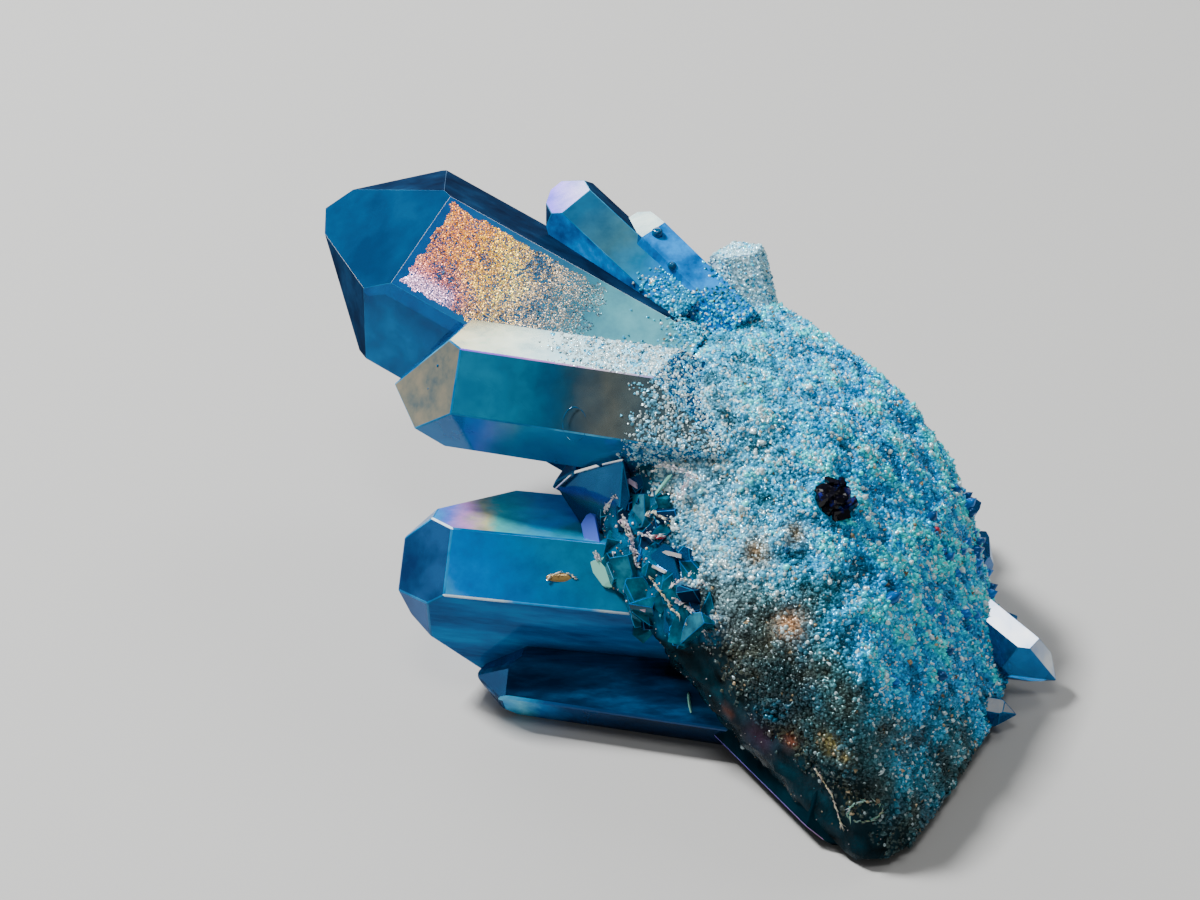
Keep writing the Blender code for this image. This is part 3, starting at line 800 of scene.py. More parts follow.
def depth_in(points, name, skip=None):
    """How far outside a crystal each point is; negative means inside it. One face can be left out."""
    worst = np.full(len(points), FAR_INSIDE)
    for label, place, normal in crystal_planes(CRYSTALS[name]):
        if label != skip:
            worst = np.maximum(worst, (points - np.array(place) / MM) @ np.array(normal))
    foot = np.array(CRYSTALS[name]["foot"])
    axis = np.array(axis_frame(CRYSTALS[name])[0])
    return np.maximum(worst, -(points - foot) @ axis)


def reach_along(points, name):
    """Distance of each point from a crystal's foot, along its axis."""
    return (points - np.array(CRYSTALS[name]["foot"])) @ np.array(axis_frame(CRYSTALS[name])[0])


def ripple(points, size, seed):
    """Smooth random waves between about -1 and 1, for patches that have no hard edge."""
    rng = np.random.default_rng(seed)
    total = np.zeros(len(points))
    for step in range(7):
        direction = rng.normal(size=3)
        direction /= np.linalg.norm(direction)
        waves = points @ direction * (2 * math.pi / size) * rng.uniform(0.6, 1.6)
        total += np.sin(waves + rng.uniform(0, FULL_TURN))
    return total / 3.0


covered = sum(depth_in(np.array(BODY_CORNERS), crystal_name) < 0 for crystal_name in CRYSTALS)
print((covered > 0).sum(), "corners of the druse lie inside a crystal")

# %% [markdown]
# The patterns are copied many times into one mesh with numpy, each copy with its own place, lean,
# width, height and colour. Particles or instances would be lighter, but they don't survive an
# export.


# %% Lay many grains as one mesh
GRAIN_LOWEST = 0.02


def store_tints(mesh, tints):
    """Keep one colour for each point of a mesh, where a finish can read it."""
    stored = mesh.color_attributes.new("tint", "FLOAT_COLOR", "POINT")
    stored.data.foreach_set("color", np.concatenate([tints, np.ones((len(tints), 1))], axis=1).ravel())


def lay_grains(name, places, leans, widths, heights, tints, rng, pattern, finish):
    """One mesh of many grains, with a colour stored for each."""
    pattern_points, pattern_faces = pattern
    count = len(places)
    axes = leans / np.linalg.norm(leans, axis=1)[:, None]
    helper = np.where(np.abs(axes[:, 2:3]) < 0.9, np.array([[0.0, 0, 1]]), np.array([[1.0, 0, 0]]))
    first = np.cross(axes, helper)
    first /= np.linalg.norm(first, axis=1)[:, None]
    second = np.cross(axes, first)
    spin = rng.random(count) * FULL_TURN
    right = first * np.cos(spin)[:, None] + second * np.sin(spin)[:, None]
    ahead = np.cross(axes, right)
    local = pattern_points[None, :, :]
    points = (places[:, None, :]
              + right[:, None, :] * local[:, :, 0:1] * widths[:, None, None]
              + ahead[:, None, :] * local[:, :, 1:2] * widths[:, None, None]
              + axes[:, None, :] * local[:, :, 2:3] * heights[:, None, None])
    points = points.reshape(-1, 3) * MM
    points[:, 2] = np.maximum(points[:, 2], GRAIN_LOWEST * MM)
    loops = np.concatenate([np.array(face) for face in pattern_faces])
    sizes = np.array([len(face) for face in pattern_faces])
    starts = np.concatenate([[0], np.cumsum(sizes)[:-1]])
    step = np.arange(count)[:, None]
    all_loops = (loops[None, :] + step * len(pattern_points)).ravel()
    all_starts = (starts[None, :] + step * len(loops)).ravel()
    mesh = bpy.data.meshes.new(name)
    mesh.vertices.add(len(points))
    mesh.vertices.foreach_set("co", points.ravel())
    mesh.loops.add(len(all_loops))
    mesh.loops.foreach_set("vertex_index", all_loops)
    mesh.polygons.add(len(all_starts))
    mesh.polygons.foreach_set("loop_start", all_starts)
    mesh.update(calc_edges=True)
    mesh.validate()
    mesh.materials.append(finish)
    store_tints(mesh, np.repeat(tints, len(pattern_points), axis=0))
    crust = bpy.data.objects.new(name, mesh)
    bpy.context.scene.collection.objects.link(crust)
    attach(crust, "root")
    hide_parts("quartz_cluster")
    print(name, "has", count, "grains,", count * int((sizes - 2).sum()), "triangles")


print("one grain counts", sum(len(face) - 2 for face in GRAIN_PATTERN[1]), "triangles")

# %% [markdown]
# The coat is not one blue. Low down the grains are dark teal, on top they are bright cyan, in two
# patches at the upper left nearly white, and here and there golden or brown. Part of this is painted
# light: the top and the two white patches are painted lighter, the low left and the hollows darker in
# painted shade, and many of the white and gold grains are painted glints. The colour is worked out
# for each grain from where it sits and from chance, then stored in the mesh, so neighbours differ
# like real ones do.


# %% Colours of the grains
STAINS = (  # centre, radius and colour
    ((5.1, -13.6, 19.6), 1.2, (0.36, 0.26, 0.15)),
    ((8.2, -12.8, 20.7), 1.0, (0.28, 0.24, 0.16)),
    ((7.7, -18.4, 16.0), 1.2, (0.36, 0.20, 0.10)),
    ((20.2, -5.5, 15.6), 0.45, (0.05, 0.015, 0.01)),
    ((7.5, -14.2, 20.0), 0.4, (0.01, 0.01, 0.03)),
    ((5.3, -21.3, 7.1), 1.3, (0.035, 0.018, 0.036)),
    ((7.7, -22.9, 8.2), 0.5, (0.26, 0.07, 0.03)),
    ((2.8, -19.2, 7.7), 0.5, (0.20, 0.06, 0.03)),
    ((10.5, -24.9, 9.5), 0.8, (0.22, 0.18, 0.05)),
    ((11.8, -25.8, 8.9), 0.5, (0.22, 0.18, 0.06)),
)
BARE_EDGE = ((30, -10), (17.6, -6.9), (13.7, -3.8), (10.6, -3.0), (4.3, -0.7), (1.2, 1.0), (-5.0, 3.8),
             (-9.0, 8.7), (-12.9, 12.6), (-16, 14.5))
# LOW, MID and HIGH tints run from the dark low left to the bright top, partly the crust's own colour and
# partly painted light and shade
LOW_TINT = np.array([0.009, 0.029, 0.034])
MID_TINT = np.array([0.040, 0.165, 0.200])
HIGH_TINT = np.array([0.035, 0.50, 0.80])
WARM_TINT = np.array([0.085, 0.088, 0.050])
SNOW_TINT = np.array([0.74, 0.96, 1.0])
LOOK_SINE, LOOK_COSINE = 0.574, 0.819  # of the 35 degrees that the camera looks down
TOWARD_VIEW = np.array([0, -LOOK_COSINE, LOOK_SINE])


def view_height(points):
    """Height as it is seen from the front, looking down at 35 degrees."""
    return points[:, 1] * LOOK_SINE + points[:, 2] * LOOK_COSINE


def bareness(points, normals):
    """How bare of sugar the broken glassy flank at the front left is, 0 to 1."""
    height = view_height(points)
    order = sorted(BARE_EDGE)
    edge = np.interp(height, [level for level, place in order], [place for level, place in order])
    width = np.interp(height, [-12, -4, 0], [5.5, 4.0, 2.4])
    bare = np.clip(1 - (points[:, 0] - edge - 0.5 * ripple(points, 3, 5)) / width, 0, 1)
    return bare * np.clip((normals @ TOWARD_VIEW + 0.85) / 0.3, 0, 1)


def add_stains(points, tints):
    """Soft brown, orange and dark patches where other minerals stain the crust."""
    for centre, radius, colour in STAINS:
        near = np.exp(-(np.linalg.norm(points - np.array(centre), axis=1) / radius) ** 2)[:, None]
        tints = tints * (1 - near) + np.array(colour) * near
    return np.clip(tints, 0, 1)


def heart(points, centre, radii):
    """1 at a centre, fading to 0 over the given radii."""
    return np.exp(-(np.linalg.norm((points - np.array(centre)) / radii, axis=1)) ** 2)


def white_and_painted_light_hearts(points):
    """Near 1 in the two patches at the upper left where the crust is almost white, partly whiter sugar and
    partly painted light.
    """
    upper = heart(points, (-1.0, -5.5, 22.0), (5.5, 8, 8))
    lower = heart(points, (0.9, -11.5, 17.2), (4.5, 6, 6))
    return np.maximum(upper, 0.8 * lower)


def tone_and_painted_light(points):
    """0 at the dark lower left of the crust to 1 at its bright top, with soft waves. It is partly the
    crust's own tone and partly painted light: lighter on top and in the upper left patches, painted shade
    low on the left.
    """
    height = view_height(points)
    upper = height + 0.5 * points[:, 0] + 3.5
    lower = height + 2.15 * np.minimum(points[:, 0], 15) - 14.5
    low = np.clip(1 - height / 8, 0, 1)
    level = upper + (lower - upper) * low + 8 * white_and_painted_light_hearts(points) + 2.0 * ripple(points, 7, 3)
    return np.clip(level / 18, 0, 1)


def crust_tints_and_painted_light(points, crest):
    """Smooth colour of the crust: dark and brownish in hollows and low down, bright on crests. The darkening
    in the hollows is painted shade and the brightening on the crests a painted highlight; the dark low left
    and the bright top are partly painted light and shade.
    """
    height = tone_and_painted_light(points)[:, None]
    tints = np.where(height < 0.5, LOW_TINT + (MID_TINT - LOW_TINT) * height * 2,
                     MID_TINT + (HIGH_TINT - MID_TINT) * (height * 2 - 1))
    right = np.clip((points[:, 0:1] - 6) / 12, 0, 1) * np.clip(height * 2 - 0.8, 0, 1)
    tints = tints * (1 + right * np.array([-0.5, 0.15, 0.60]))
    bump = np.clip(0.5 + crest / 0.45, 0, 1)[:, None]
    warm = np.clip(0.45 + 0.5 * ripple(points, 5, 12), 0, 1)[:, None] * (1 - bump) * (1.25 - height)
    tints = tints * (1 - warm) + WARM_TINT * warm
    # painted shade in the hollows and painted highlight on the crests
    tints = tints * (0.40 + 1.10 * bump)
    # painted light: the two upper left patches are whitened, most on the crests
    frost = 0.65 * white_and_painted_light_hearts(points)[:, None] * (0.25 + 0.75 * bump)
    tints = tints * (1 - frost) + SNOW_TINT * 0.75 * frost
    blue = np.clip(ripple(points, 4.5, 17) - 0.15, 0, 1)[:, None] * bump
    tints = tints * (1 - 0.5 * blue) + np.array([0.0, 0.30, 0.58]) * 0.5 * blue * (0.3 + height)
    return add_stains(points, tints)


def grain_tints(points, crest, rng):
    """The crust's colour for each grain, a little uneven, with some grains bright as snow or gold. These
    white and gold grains are partly the crust's own and partly painted glints; the white ones gather on top,
    in the upper left patches and on crests, and are dimmer low down, in painted shade.
    """
    tints = crust_tints_and_painted_light(points, crest) * (0.45 + 1.1 * rng.random((len(points), 1)))
    chance = rng.random(len(points))
    height = tone_and_painted_light(points)
    patches = np.clip(0.6 + ripple(points, 2.4, 8), 0, 1.4)
    # white grains are partly painted glints: more of them on top, in the upper left patches and on crests
    share = 0.02 + 0.17 * height + 0.95 * white_and_painted_light_hearts(points) * patches
    snow = chance < share * np.clip(0.7 + crest / 0.4, 0.15, 1.5)
    glow = 0.70 + 0.30 * rng.random((snow.sum(), 1))
    # painted shade: white grains lower down are dimmer
    tints[snow] = SNOW_TINT * glow * np.clip(0.35 + height[snow, None], 0, 1)
    gold = chance > 0.988
    tints[gold] = np.array([0.75, 0.58, 0.34]) * (0.15 + 0.6 * rng.random((gold.sum(), 1)))
    return np.clip(tints, 0, 1)


print("brightness at the body centre:", round(float(tone_and_painted_light(np.array([BODY_CENTRE]))[0]), 2))

# %% [markdown]
# Under its grains the druse is glassy, dark in the broken flank at the front left. It takes the same
# colours point by point, painted light and shade included, from an attribute stored in the mesh,
# because an image texture would need the surface to be unwrapped first. A fine Bump makes it glitter
# between the grains.


# %% Finish of the druse itself
def tinted_finish(name, roughness, metal, gloss=0.5, shine=(0.62, 0.86, 1.0)):
    """A glossy finish that reads its colour from the mesh."""
    finish, shader = new_finish(name)
    reader = finish.node_tree.nodes.new("ShaderNodeVertexColor")
    reader.layer_name = "tint"
    finish.node_tree.links.new(reader.outputs["Color"], shader.inputs["Base Color"])
    set_inputs(shader, {
        "Roughness": roughness, "Metallic": metal, "Specular IOR Level": gloss,
        "Specular Tint": (*shine, 1)})
    return finish, shader


base_points = mesh_arrays(druse_base)[0]
bare_share = bareness(base_points, smooth_normals)[:, None] ** 0.5
high_up = view_height(base_points)[:, None] > 1.0
glass = np.where(high_up, np.array([0.0, 0.075, 0.16]), np.array([0.002, 0.018, 0.028]))
glass = glass * (1.0 + 0.7 * ripple(base_points, 1.6, 6)[:, None])
# the crust's colours here carry its painted light and shade, dimmed by a quarter
base_tints = crust_tints_and_painted_light(base_points, base_crest) * 0.75 * (1 - bare_share) + glass * bare_share
store_tints(druse_base.data, add_stains(base_points, np.clip(base_tints, 0, 1)))
base_finish, base_shader = tinted_finish("druse_glass", 0.14, 0.02, 0.04)
tree = base_finish.node_tree
fine = noise(tree, 1100, 7.0, 0.7, (1.0, 0.6, 0.6))
bump = tree.nodes.new("ShaderNodeBump")
set_inputs(bump, {"Strength": 1.0, "Distance": 0.00035})
tree.links.new(fine.outputs["Fac"], bump.inputs["Height"])
tree.links.new(bump.outputs["Normal"], base_shader.inputs["Normal"])
druse_base.data.materials.append(base_finish)
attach(druse_base, "root")
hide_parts("quartz_cluster")
print(len(STAINS), "stains; crests", round(float(base_crest.std()), 2), "mm")

# %% [markdown]
# Three sizes of grain lie over each other, as in real druse: fine sugar everywhere, larger points on
# the crests, and a few coarse ones along the right rim. The sugar is split into four pieces, because
# one piece would have too many faces.


# %% Scatter the grains over the druse
BLACK_GRAIN_AT = np.array([11.2, -9.3, 21.0])
BLACK_GRAIN_RADII = np.array([2.0, 1.7, 1.8])  # no sugar grows this near to it


def grain_sizes(count, rng, smallest, spread):
    """Random widths and heights in millimetres; most grains are near the smallest."""
    widths = smallest + spread * rng.random(count) ** 2
    return widths, widths * (0.8 + 0.9 * rng.random(count))


def free_spots(spacing, rng, tries):
    """Spots on the druse that no crystal covers, one to each cell of the given size."""
    spots, normals, crest = sample(druse_base, tries, rng, base_crest)
    spots, normals, crest = only(thin_out(spots, spacing), spots, normals, crest)
    clear = spots[:, 2] > 0.2
    for crystal_name in CRYSTALS:
        clear &= depth_in(spots, crystal_name) > -0.15
    clear &= np.linalg.norm((spots - BLACK_GRAIN_AT) / BLACK_GRAIN_RADII, axis=1) > 1
    clear &= rng.random(len(spots)) > bareness(spots, normals)
    return only(clear, spots, normals, crest)


def quarter(points):
    """Which of four pieces a spot belongs to: back, left, top or front."""
    place = np.where(points[:, 1] > 4.0 + 0.3 * points[:, 0], 0, np.where(points[:, 0] < 7.0, 1, 2))
    place[(place == 2) & (view_height(points) < 3.0)] = 3
    return place


crust_finish = tinted_finish("druse_grains", 0.10, 0.28)[0]
rng = np.random.default_rng(SEED)
spots, normals, crest = free_spots(0.25, rng, 500000)
widths, heights = grain_sizes(len(spots), rng, 0.13, 0.10)
leans = normals + 0.7 * rng.normal(size=spots.shape)
tints = grain_tints(spots, crest, rng)
place = quarter(spots)
for index, piece_name in enumerate(("sugar_back", "sugar_left", "sugar_top", "sugar_front")):
    mine = only(place == index, spots, leans, widths, heights, tints)
    lay_grains(piece_name, *mine, rng, FACET_PATTERN, crust_finish)

spots, normals, crest = free_spots(0.55, rng, 160000)
wanted = rng.random(len(spots)) < 0.30 + 0.6 * np.clip(crest / 0.3, 0, 1)
spots, normals, crest = only(wanted, spots, normals, crest)
widths, heights = grain_sizes(len(spots), rng, 0.11, 0.14)
tints = grain_tints(spots, crest + 0.1, rng)
leans = normals + 0.55 * rng.normal(size=spots.shape)
lay_grains("druse_points", spots, leans, widths, heights * 1.1, tints, rng, GRAIN_PATTERN, crust_finish)

spots, normals, crest = free_spots(0.9, rng, 60000)
height = view_height(spots)
wanted = (normals @ TOWARD_VIEW < 0.30) & (spots[:, 0] > 15) & (height > -3) & (height < 13)
wanted &= rng.random(len(spots)) < 0.4
spots, normals = only(wanted, spots, normals)
widths = rng.uniform(0.25, 0.50, len(spots))
tints = np.clip(np.array([0.0, 0.12, 0.42]) * rng.uniform(0.4, 1.5, (len(spots), 1)), 0, 1)
leans = normals + 0.4 * rng.normal(size=spots.shape)
heights = widths * rng.uniform(1.2, 1.8, len(spots))
lay_grains("rim_points", spots, leans, widths, heights, tints, rng, GRAIN_PATTERN, crust_finish)

# %% [markdown]
# Sugar of the same tiny crystals creeps up the roots of the large points, thick near the druse and
# thinning out along them. The same helpers scatter it over the clear points, and only the places
# near a root, on the frosted stub or along the top of the middle point are kept.

# %% Sugar on the roots of the points
ON_IT = 0.03  # a spot this near to a crystal lies on it
SUGARED = {  # how far the sugar climbs from the foot of each crystal, and how ragged its edge is
    "main_point": (3.5, 1.2), "upper_point": (4.5, 1.2), "beaded_point": (3.5, 1.2),
    "sugared_stub": (20.0, 0.5), "low_point": (4.5, 1.0), "right_point": (4.5, 1.0),
    "right_low_point": (1.5, 0.6), "back_point_a": (8.0, 1.2), "back_point_b": (5.0, 1.0),
    "back_point_c": (7.0, 1.2), "back_point_d": (4.5, 1.0), "edge_point_a": (4.5, 1.0),
    "edge_point_b": (4.5, 1.0), "ground_point": (3.0, 0.6), "blade": (3.0, 0.6),
}


def on_crystal(points, name, within=ON_IT):
    """Whether each point lies on the surface of a crystal."""
    return np.abs(depth_in(points, name)) < within


def on_face(points, name, label, within=ON_IT):
    """Whether each point lies on one named face of a crystal."""
    faces = {face: (place, normal) for face, place, normal in crystal_planes(CRYSTALS[name])}
    place, normal = faces[label]
    flat = np.abs((points - np.array(place) / MM) @ np.array(normal)) < within
    return flat & on_crystal(points, name, within)


spots, normals = sample(clear_points, 300000, rng)
spots, normals = only(thin_out(spots, 0.25), spots, normals)
wanted = np.zeros(len(spots), dtype=bool)
for crystal_name, (limit, fade) in SUGARED.items():
    on_it = on_crystal(spots, crystal_name)
    edge = limit + fade * ripple(spots, 3.5, 21) + 0.6 * fade * rng.normal(size=len(spots))
    wanted |= on_it & (reach_along(spots, crystal_name) < edge)
bare = 0.9 * bareness(spots, normals) * (spots[:, 2] < 17)
wanted &= (spots[:, 2] > 0.4) & (rng.random(len(spots)) > bare)
spots, normals = only(wanted, spots, normals)
widths, heights = grain_sizes(len(spots), rng, 0.12, 0.10)
tints = grain_tints(spots, 0.15 * ripple(spots, 1.2, 9), rng)
frost = on_crystal(spots, "sugared_stub") & (rng.random(len(spots)) < 0.75)
tints[frost] = np.array([0.48, 0.88, 1.0]) * (0.75 + 0.25 * rng.random((frost.sum(), 1)))
leans = normals + 0.6 * rng.normal(size=spots.shape)
lay_grains("root_sugar", spots, leans, widths, heights * 0.8, tints, rng, FACET_PATTERN, crust_finish)

spots, normals = sample(clear_points, 700000, rng)
spots, normals = only(on_crystal(spots, "middle_point"), spots, normals)
spots, normals = only(thin_out(spots, 0.15), spots, normals)
reach = reach_along(spots, "middle_point") + 0.9 * ripple(spots, 3.0, 21)
top = on_face(spots, "middle_point", "side1")
chance = np.clip(np.where(top, (16.5 - reach) / 5.0, (8.6 - reach) / 2.2), 0, 1)
chance *= np.clip(0.75 + 0.45 * ripple(spots, 1.1, 14), 0.15, 1)
wanted = rng.random(len(spots)) < chance
spots, normals, top = only(wanted, spots, normals, top)
widths, heights = grain_sizes(len(spots), rng, 0.08, 0.12)
tints = crust_tints_and_painted_light(spots, 0.25 * ripple(spots, 0.9, 9))
frosted_share = np.clip(np.where(top, 0.85, 0.42) + 0.4 * ripple(spots, 1.6, 15), 0.05, 0.95)
frost = rng.random(len(spots)) < frosted_share
tints[frost] = SNOW_TINT * (0.60 + 0.40 * rng.random((frost.sum(), 1)))
leans = normals + 0.6 * rng.normal(size=spots.shape)
lay_grains("middle_sugar", spots, leans, widths, heights * 0.7, tints, rng, FACET_PATTERN, crust_finish)

# %% [markdown]
# One face of the main point is covered by fine golden glitter. From close by it is again a crust of
# tiny plates, so it is scattered like the sugar, only lower and denser, in a patch that leaves a
# clean strip beside each edge. Its colour runs from pink over orange and gold to grey.


# %% Golden glitter on the main point
def blend_stops(share, stops):
    """Mix colours along a 0 to 1 share, as a colour ramp does."""
    places = [place for place, colour in stops]
    channels = [[colour[k] for place, colour in stops] for k in range(3)]
    return np.stack([np.interp(share, places, channel) for channel in channels], axis=1)


GLITTER_STOPS = (
    (0.0, (1.0, 0.28, 0.04)), (0.15, (1.0, 0.28, 0.0)), (0.35, (1.0, 0.46, 0.01)),
    (0.50, (0.95, 0.56, 0.12)), (0.65, (0.56, 0.42, 0.26)), (0.80, (0.32, 0.28, 0.22)),
    (1.0, (0.09, 0.22, 0.26)))
GLITTER_LEFT = 23.6  # where the patch begins, as a distance along the crystal
GLITTER_LENGTH = 15.5
spots, normals = sample(clear_points, 2500000, rng)
spots, normals = only(on_face(spots, "main_point", "side0", 0.01), spots, normals)
spots, normals = only(thin_out(spots, 0.095), spots, normals)
other = depth_in(spots, "main_point", skip="side0")
left_share = (GLITTER_LEFT - reach_along(spots, "main_point")) / GLITTER_LENGTH
patch = ripple(spots, 1.6, 31)
inside = (other < -0.45 - 0.15 * patch) & (left_share < 0.96 + 0.05 * patch)
inside &= rng.random(len(spots)) < 1.05 + 0.06 * patch - 0.50 * left_share
inside &= depth_in(spots, "middle_point") > 0
spots, normals, left_share = only(inside, spots, normals, left_share)
widths, heights = grain_sizes(len(spots), rng, 0.055, 0.05)
tints = blend_stops(np.clip(left_share + 0.05 * rng.normal(size=len(spots)), 0, 1), GLITTER_STOPS)
fleck = 0.36 * ripple(spots, 2.6, 33) + 0.30 * ripple(spots, 0.9, 34) + 0.22 * ripple(spots, 0.4, 35)
bright = np.clip(0.92 + fleck + 0.45 * rng.normal(size=len(spots)), 0, 1.5)[:, None]
corner = np.array([-21.5, 10.6, 28.4])
edge_way = np.array([2.4, -1.3, -0.8]) / 2.84
from_corner = spots - corner
slide = np.clip(from_corner @ edge_way, -1.6, 1.6)[:, None]
from_corner = np.linalg.norm(from_corner - slide * edge_way, axis=1)[:, None]
ruby, blush = np.exp(-(from_corner / 2.3) ** 2), np.exp(-(from_corner / 1.0) ** 4)
tints = tints * (1 - 0.75 * ruby) + np.array([1.0, 0.16, 0.30]) * 0.75 * ruby
tints = tints * bright + np.array([0.02, 0.05, 0.10]) * np.clip(1 - bright, 0, 1)
tints = tints * (1 - 0.95 * blush) + np.array([1.0, 0.60, 0.90]) * 0.95 * blush
tints = np.clip(tints, 0, 1)
leans = normals + 0.30 * rng.normal(size=spots.shape)
glitter_finish = tinted_finish("golden_glitter", 0.35, 0.45, 0.15, (1.0, 0.78, 0.45))[0]
lay_grains("golden_glitter", spots, leans, widths, heights * 0.2, tints, rng, FACET_PATTERN, glitter_finish)

# %% [markdown]
# At the front left the mass is broken, not crusted, and splinters of glass stand there. Each is a
# block cut by a few slanting planes with Bisect, so no two are equal. A splinter modelled by hand
# and copied would soon be recognised.


# %% Cut a splinter
def join_all(name, pieces):
    """Join objects into the first of them."""
    select_only(*pieces)
    bpy.ops.object.join()
    pieces[0].name = name
    return pieces[0]


def splinter(name, centre, size, turn, rng, cuts):
    """A broken chip: a block cut by planes that pass near its corners."""
    bpy.ops.object.select_all(action="DESELECT")
    bpy.ops.mesh.primitive_cube_add(size=1, location=Vector(centre) * MM, rotation=turn)
    chip = bpy.context.object
    chip.name = name
    chip.scale = Vector(size) * MM
    bpy.ops.object.transform_apply(location=False, rotation=False)
    bpy.ops.object.mode_set(mode="EDIT")
    for step in range(cuts):
        away = Vector(rng.normal(size=3)).normalized()
        reach = sum(abs(away[k]) * size[k] for k in range(3)) * rng.uniform(0.22, 0.38) * MM
        place = chip.matrix_world @ (away * reach)
        bpy.ops.mesh.select_all(action="SELECT")
        bpy.ops.mesh.bisect(
            plane_co=place, plane_no=chip.matrix_world.to_3x3() @ away, use_fill=True, clear_outer=True)
    bpy.ops.mesh.select_all(action="SELECT")
    bpy.ops.mesh.normals_make_consistent(inside=False)
    bpy.ops.object.mode_set(mode="OBJECT")
    bpy.ops.object.transform_apply()
    return chip


print("helpers for broken glass: join_all and splinter")

# %% [markdown]
# Thin plates stand edge-on in the flank and flash silver, pink, green and violet, with darker chips
# of glass between them. The silver and pink ones are painted highlights along the broken edges.
# The table gives both ends of each plate, its width and its finish, and a small turn matrix sets it
# on the surface.


# %% Plates and chips
SHARD_LINES = (
    ((-2.6, -7.4, 20.5), (-1.1, -6.8, 22.4), 0.16, "green"),
    ((-4.6, -12.0, 13.3), (-3.1, -13.3, 13.4), 0.28, "pink"),
    ((-8.0, -4.8, 16.7), (-7.3, -7.8, 14.4), 0.85, "violet"),
    ((-6.9, -8.3, 14.4), (-6.4, -9.7, 13.2), 1.10, "green"),
    ((-4.8, -4.6, 20.0), (-4.0, -5.8, 20.2), 0.26, "pink"),
    ((-1.9, -10.7, 17.3), (-0.5, -12.0, 17.8), 0.22, "silver"),
    ((-2.9, -10.9, 16.1), (-1.5, -12.0, 16.1), 0.16, "silver"),
    ((-2.6, -9.7, 18.0), (-1.9, -10.0, 18.2), 0.18, "red"),
    ((-4.1, -11.6, 14.2), (-4.5, -11.9, 13.4), 0.20, "green"),
    ((0.1, -13.7, 5.6), (0.3, -14.6, 4.1), 0.10, "green"),
    ((-10.7, -1.0, 16.3), (-9.1, -1.9, 18.7), 0.09, "silver"),
    ((-9.1, -1.9, 18.7), (-7.0, -3.8, 20.8), 0.15, "silver"),
    ((-7.0, -3.8, 20.8), (-5.2, -5.0, 22.2), 0.10, "silver"),
)
PLATE_CORNERS = (
    (-10.5, -0.8, 16.4), (-9.0, -1.7, 18.6), (-5.2, -4.8, 22.1), (-4.6, -6.3, 19.4), (-5.6, -7.0, 16.4),
    (-8.4, -3.8, 14.6), (-4.0, -1.5, 19.0), (-5.0, -3.0, 14.5), (-8.0, -0.5, 16.5))
CHIP_GLASS = ("chip_teal", "chip_teal", "deep_azure", "chip_teal", "shaded_azure")
# bevel finishes of the chips; the bright ones are painted highlights on the broken edges
CHIP_SHINE = ("faint_edge", "chip_teal", "lit_azure_painted_light", "edge_painted_highlight", "chip_teal", "edge_painted_highlight")


def set_on_surface(along_way, outward):
    """Turn that lays a block's length along one direction and its thickness outward."""
    length = Vector(along_way).normalized()
    thick = Vector(outward)
    thick = (thick - length * thick.dot(length)).normalized()
    return Matrix((length, thick.cross(length), thick)).transposed().to_euler()


def flat_finish(name, colour, metal, roughness):
    """One even colour, for pieces too small to show more."""
    finish, shader = new_finish(name)
    set_inputs(shader, {"Base Color": (*colour, 1), "Metallic": metal, "Roughness": roughness})
    return finish


SHARD_FINISHES = {
    # silver and pink plates are painted highlights along broken edges
    "silver": flat_finish("shard_silver_painted_highlight", (0.85, 0.86, 0.86), 0.75, 0.14),
    "pink": flat_finish("shard_pink_painted_highlight", (0.95, 0.72, 0.86), 0.5, 0.18),
    "green": flat_finish("shard_green", (0.22, 0.58, 0.48), 0.3, 0.10),
    "violet": flat_finish("shard_violet", (0.06, 0.12, 0.60), 0.05, 0.30),
    "navy": flat_finish("shard_navy", (0.0, 0.07, 0.18), 0.15, 0.06),
    "amber": flat_finish("shard_amber", (0.30, 0.20, 0.07), 0.5, 0.20),
    "red": flat_finish("shard_red", (0.45, 0.04, 0.08), 0.5, 0.15),
}


def finish_of(name):
    """A finish of the long list, found by its name."""
    return FINISHES[FINISH_INDEX[name]]


def chip_of_glass(shard, glass, shine, width):
    """Glass body with its broken edges bevelled and shiny."""
    shard.data.materials.append(glass)
    shard.data.materials.append(shine)
    modifier(shard, "BEVEL", width=width * MM, segments=1, limit_method="ANGLE",
             angle_limit=math.radians(20), material=1)
    return shard


FRONT = Vector((-0.35, -0.70, 0.60))  # out of the broken flank
shards = []
for start, end, width, finish_name in SHARD_LINES:
    span = Vector(end) - Vector(start)
    middle = (Vector(start) + Vector(end)) / 2 + FRONT * 0.05
    block = (span.length * 1.35, width * 1.5, 0.4)
    shard = splinter("shard", middle, block, set_on_surface(span, FRONT), rng, 7)
    finish = SHARD_FINISHES[finish_name]
    shards.append(chip_of_glass(shard, finish, finish, 0.03))
spots, normals = sample(druse_base, 60000, rng)
height = view_height(spots)
band = (spots[:, 0] > -8.5) & (spots[:, 0] < 1.5) & (height > 1.5) & (height < 17.5)
band &= (normals @ TOWARD_VIEW > 0.05) & (bareness(spots, normals) > 0.3)
spots, normals = only(band, spots, normals)
for centre, outward in zip(*only(thin_out(spots, 2.1), spots, normals)):
    size = rng.uniform(2.2, 4.0)
    upright = Vector((rng.normal() * 0.5, 0.45 + rng.normal() * 0.4, 0.85))
    block = (size, size * rng.uniform(0.35, 0.60), size * 0.4)
    lean = Vector(outward + 0.25 * rng.normal(size=3))
    shard = splinter("shard", centre - outward * 0.45, block, set_on_surface(upright, lean), rng, 6)
    glass = finish_of(CHIP_GLASS[rng.integers(len(CHIP_GLASS))])
    shine = finish_of(CHIP_SHINE[rng.integers(len(CHIP_SHINE))])
    shards.append(chip_of_glass(shard, glass, shine, 0.035))
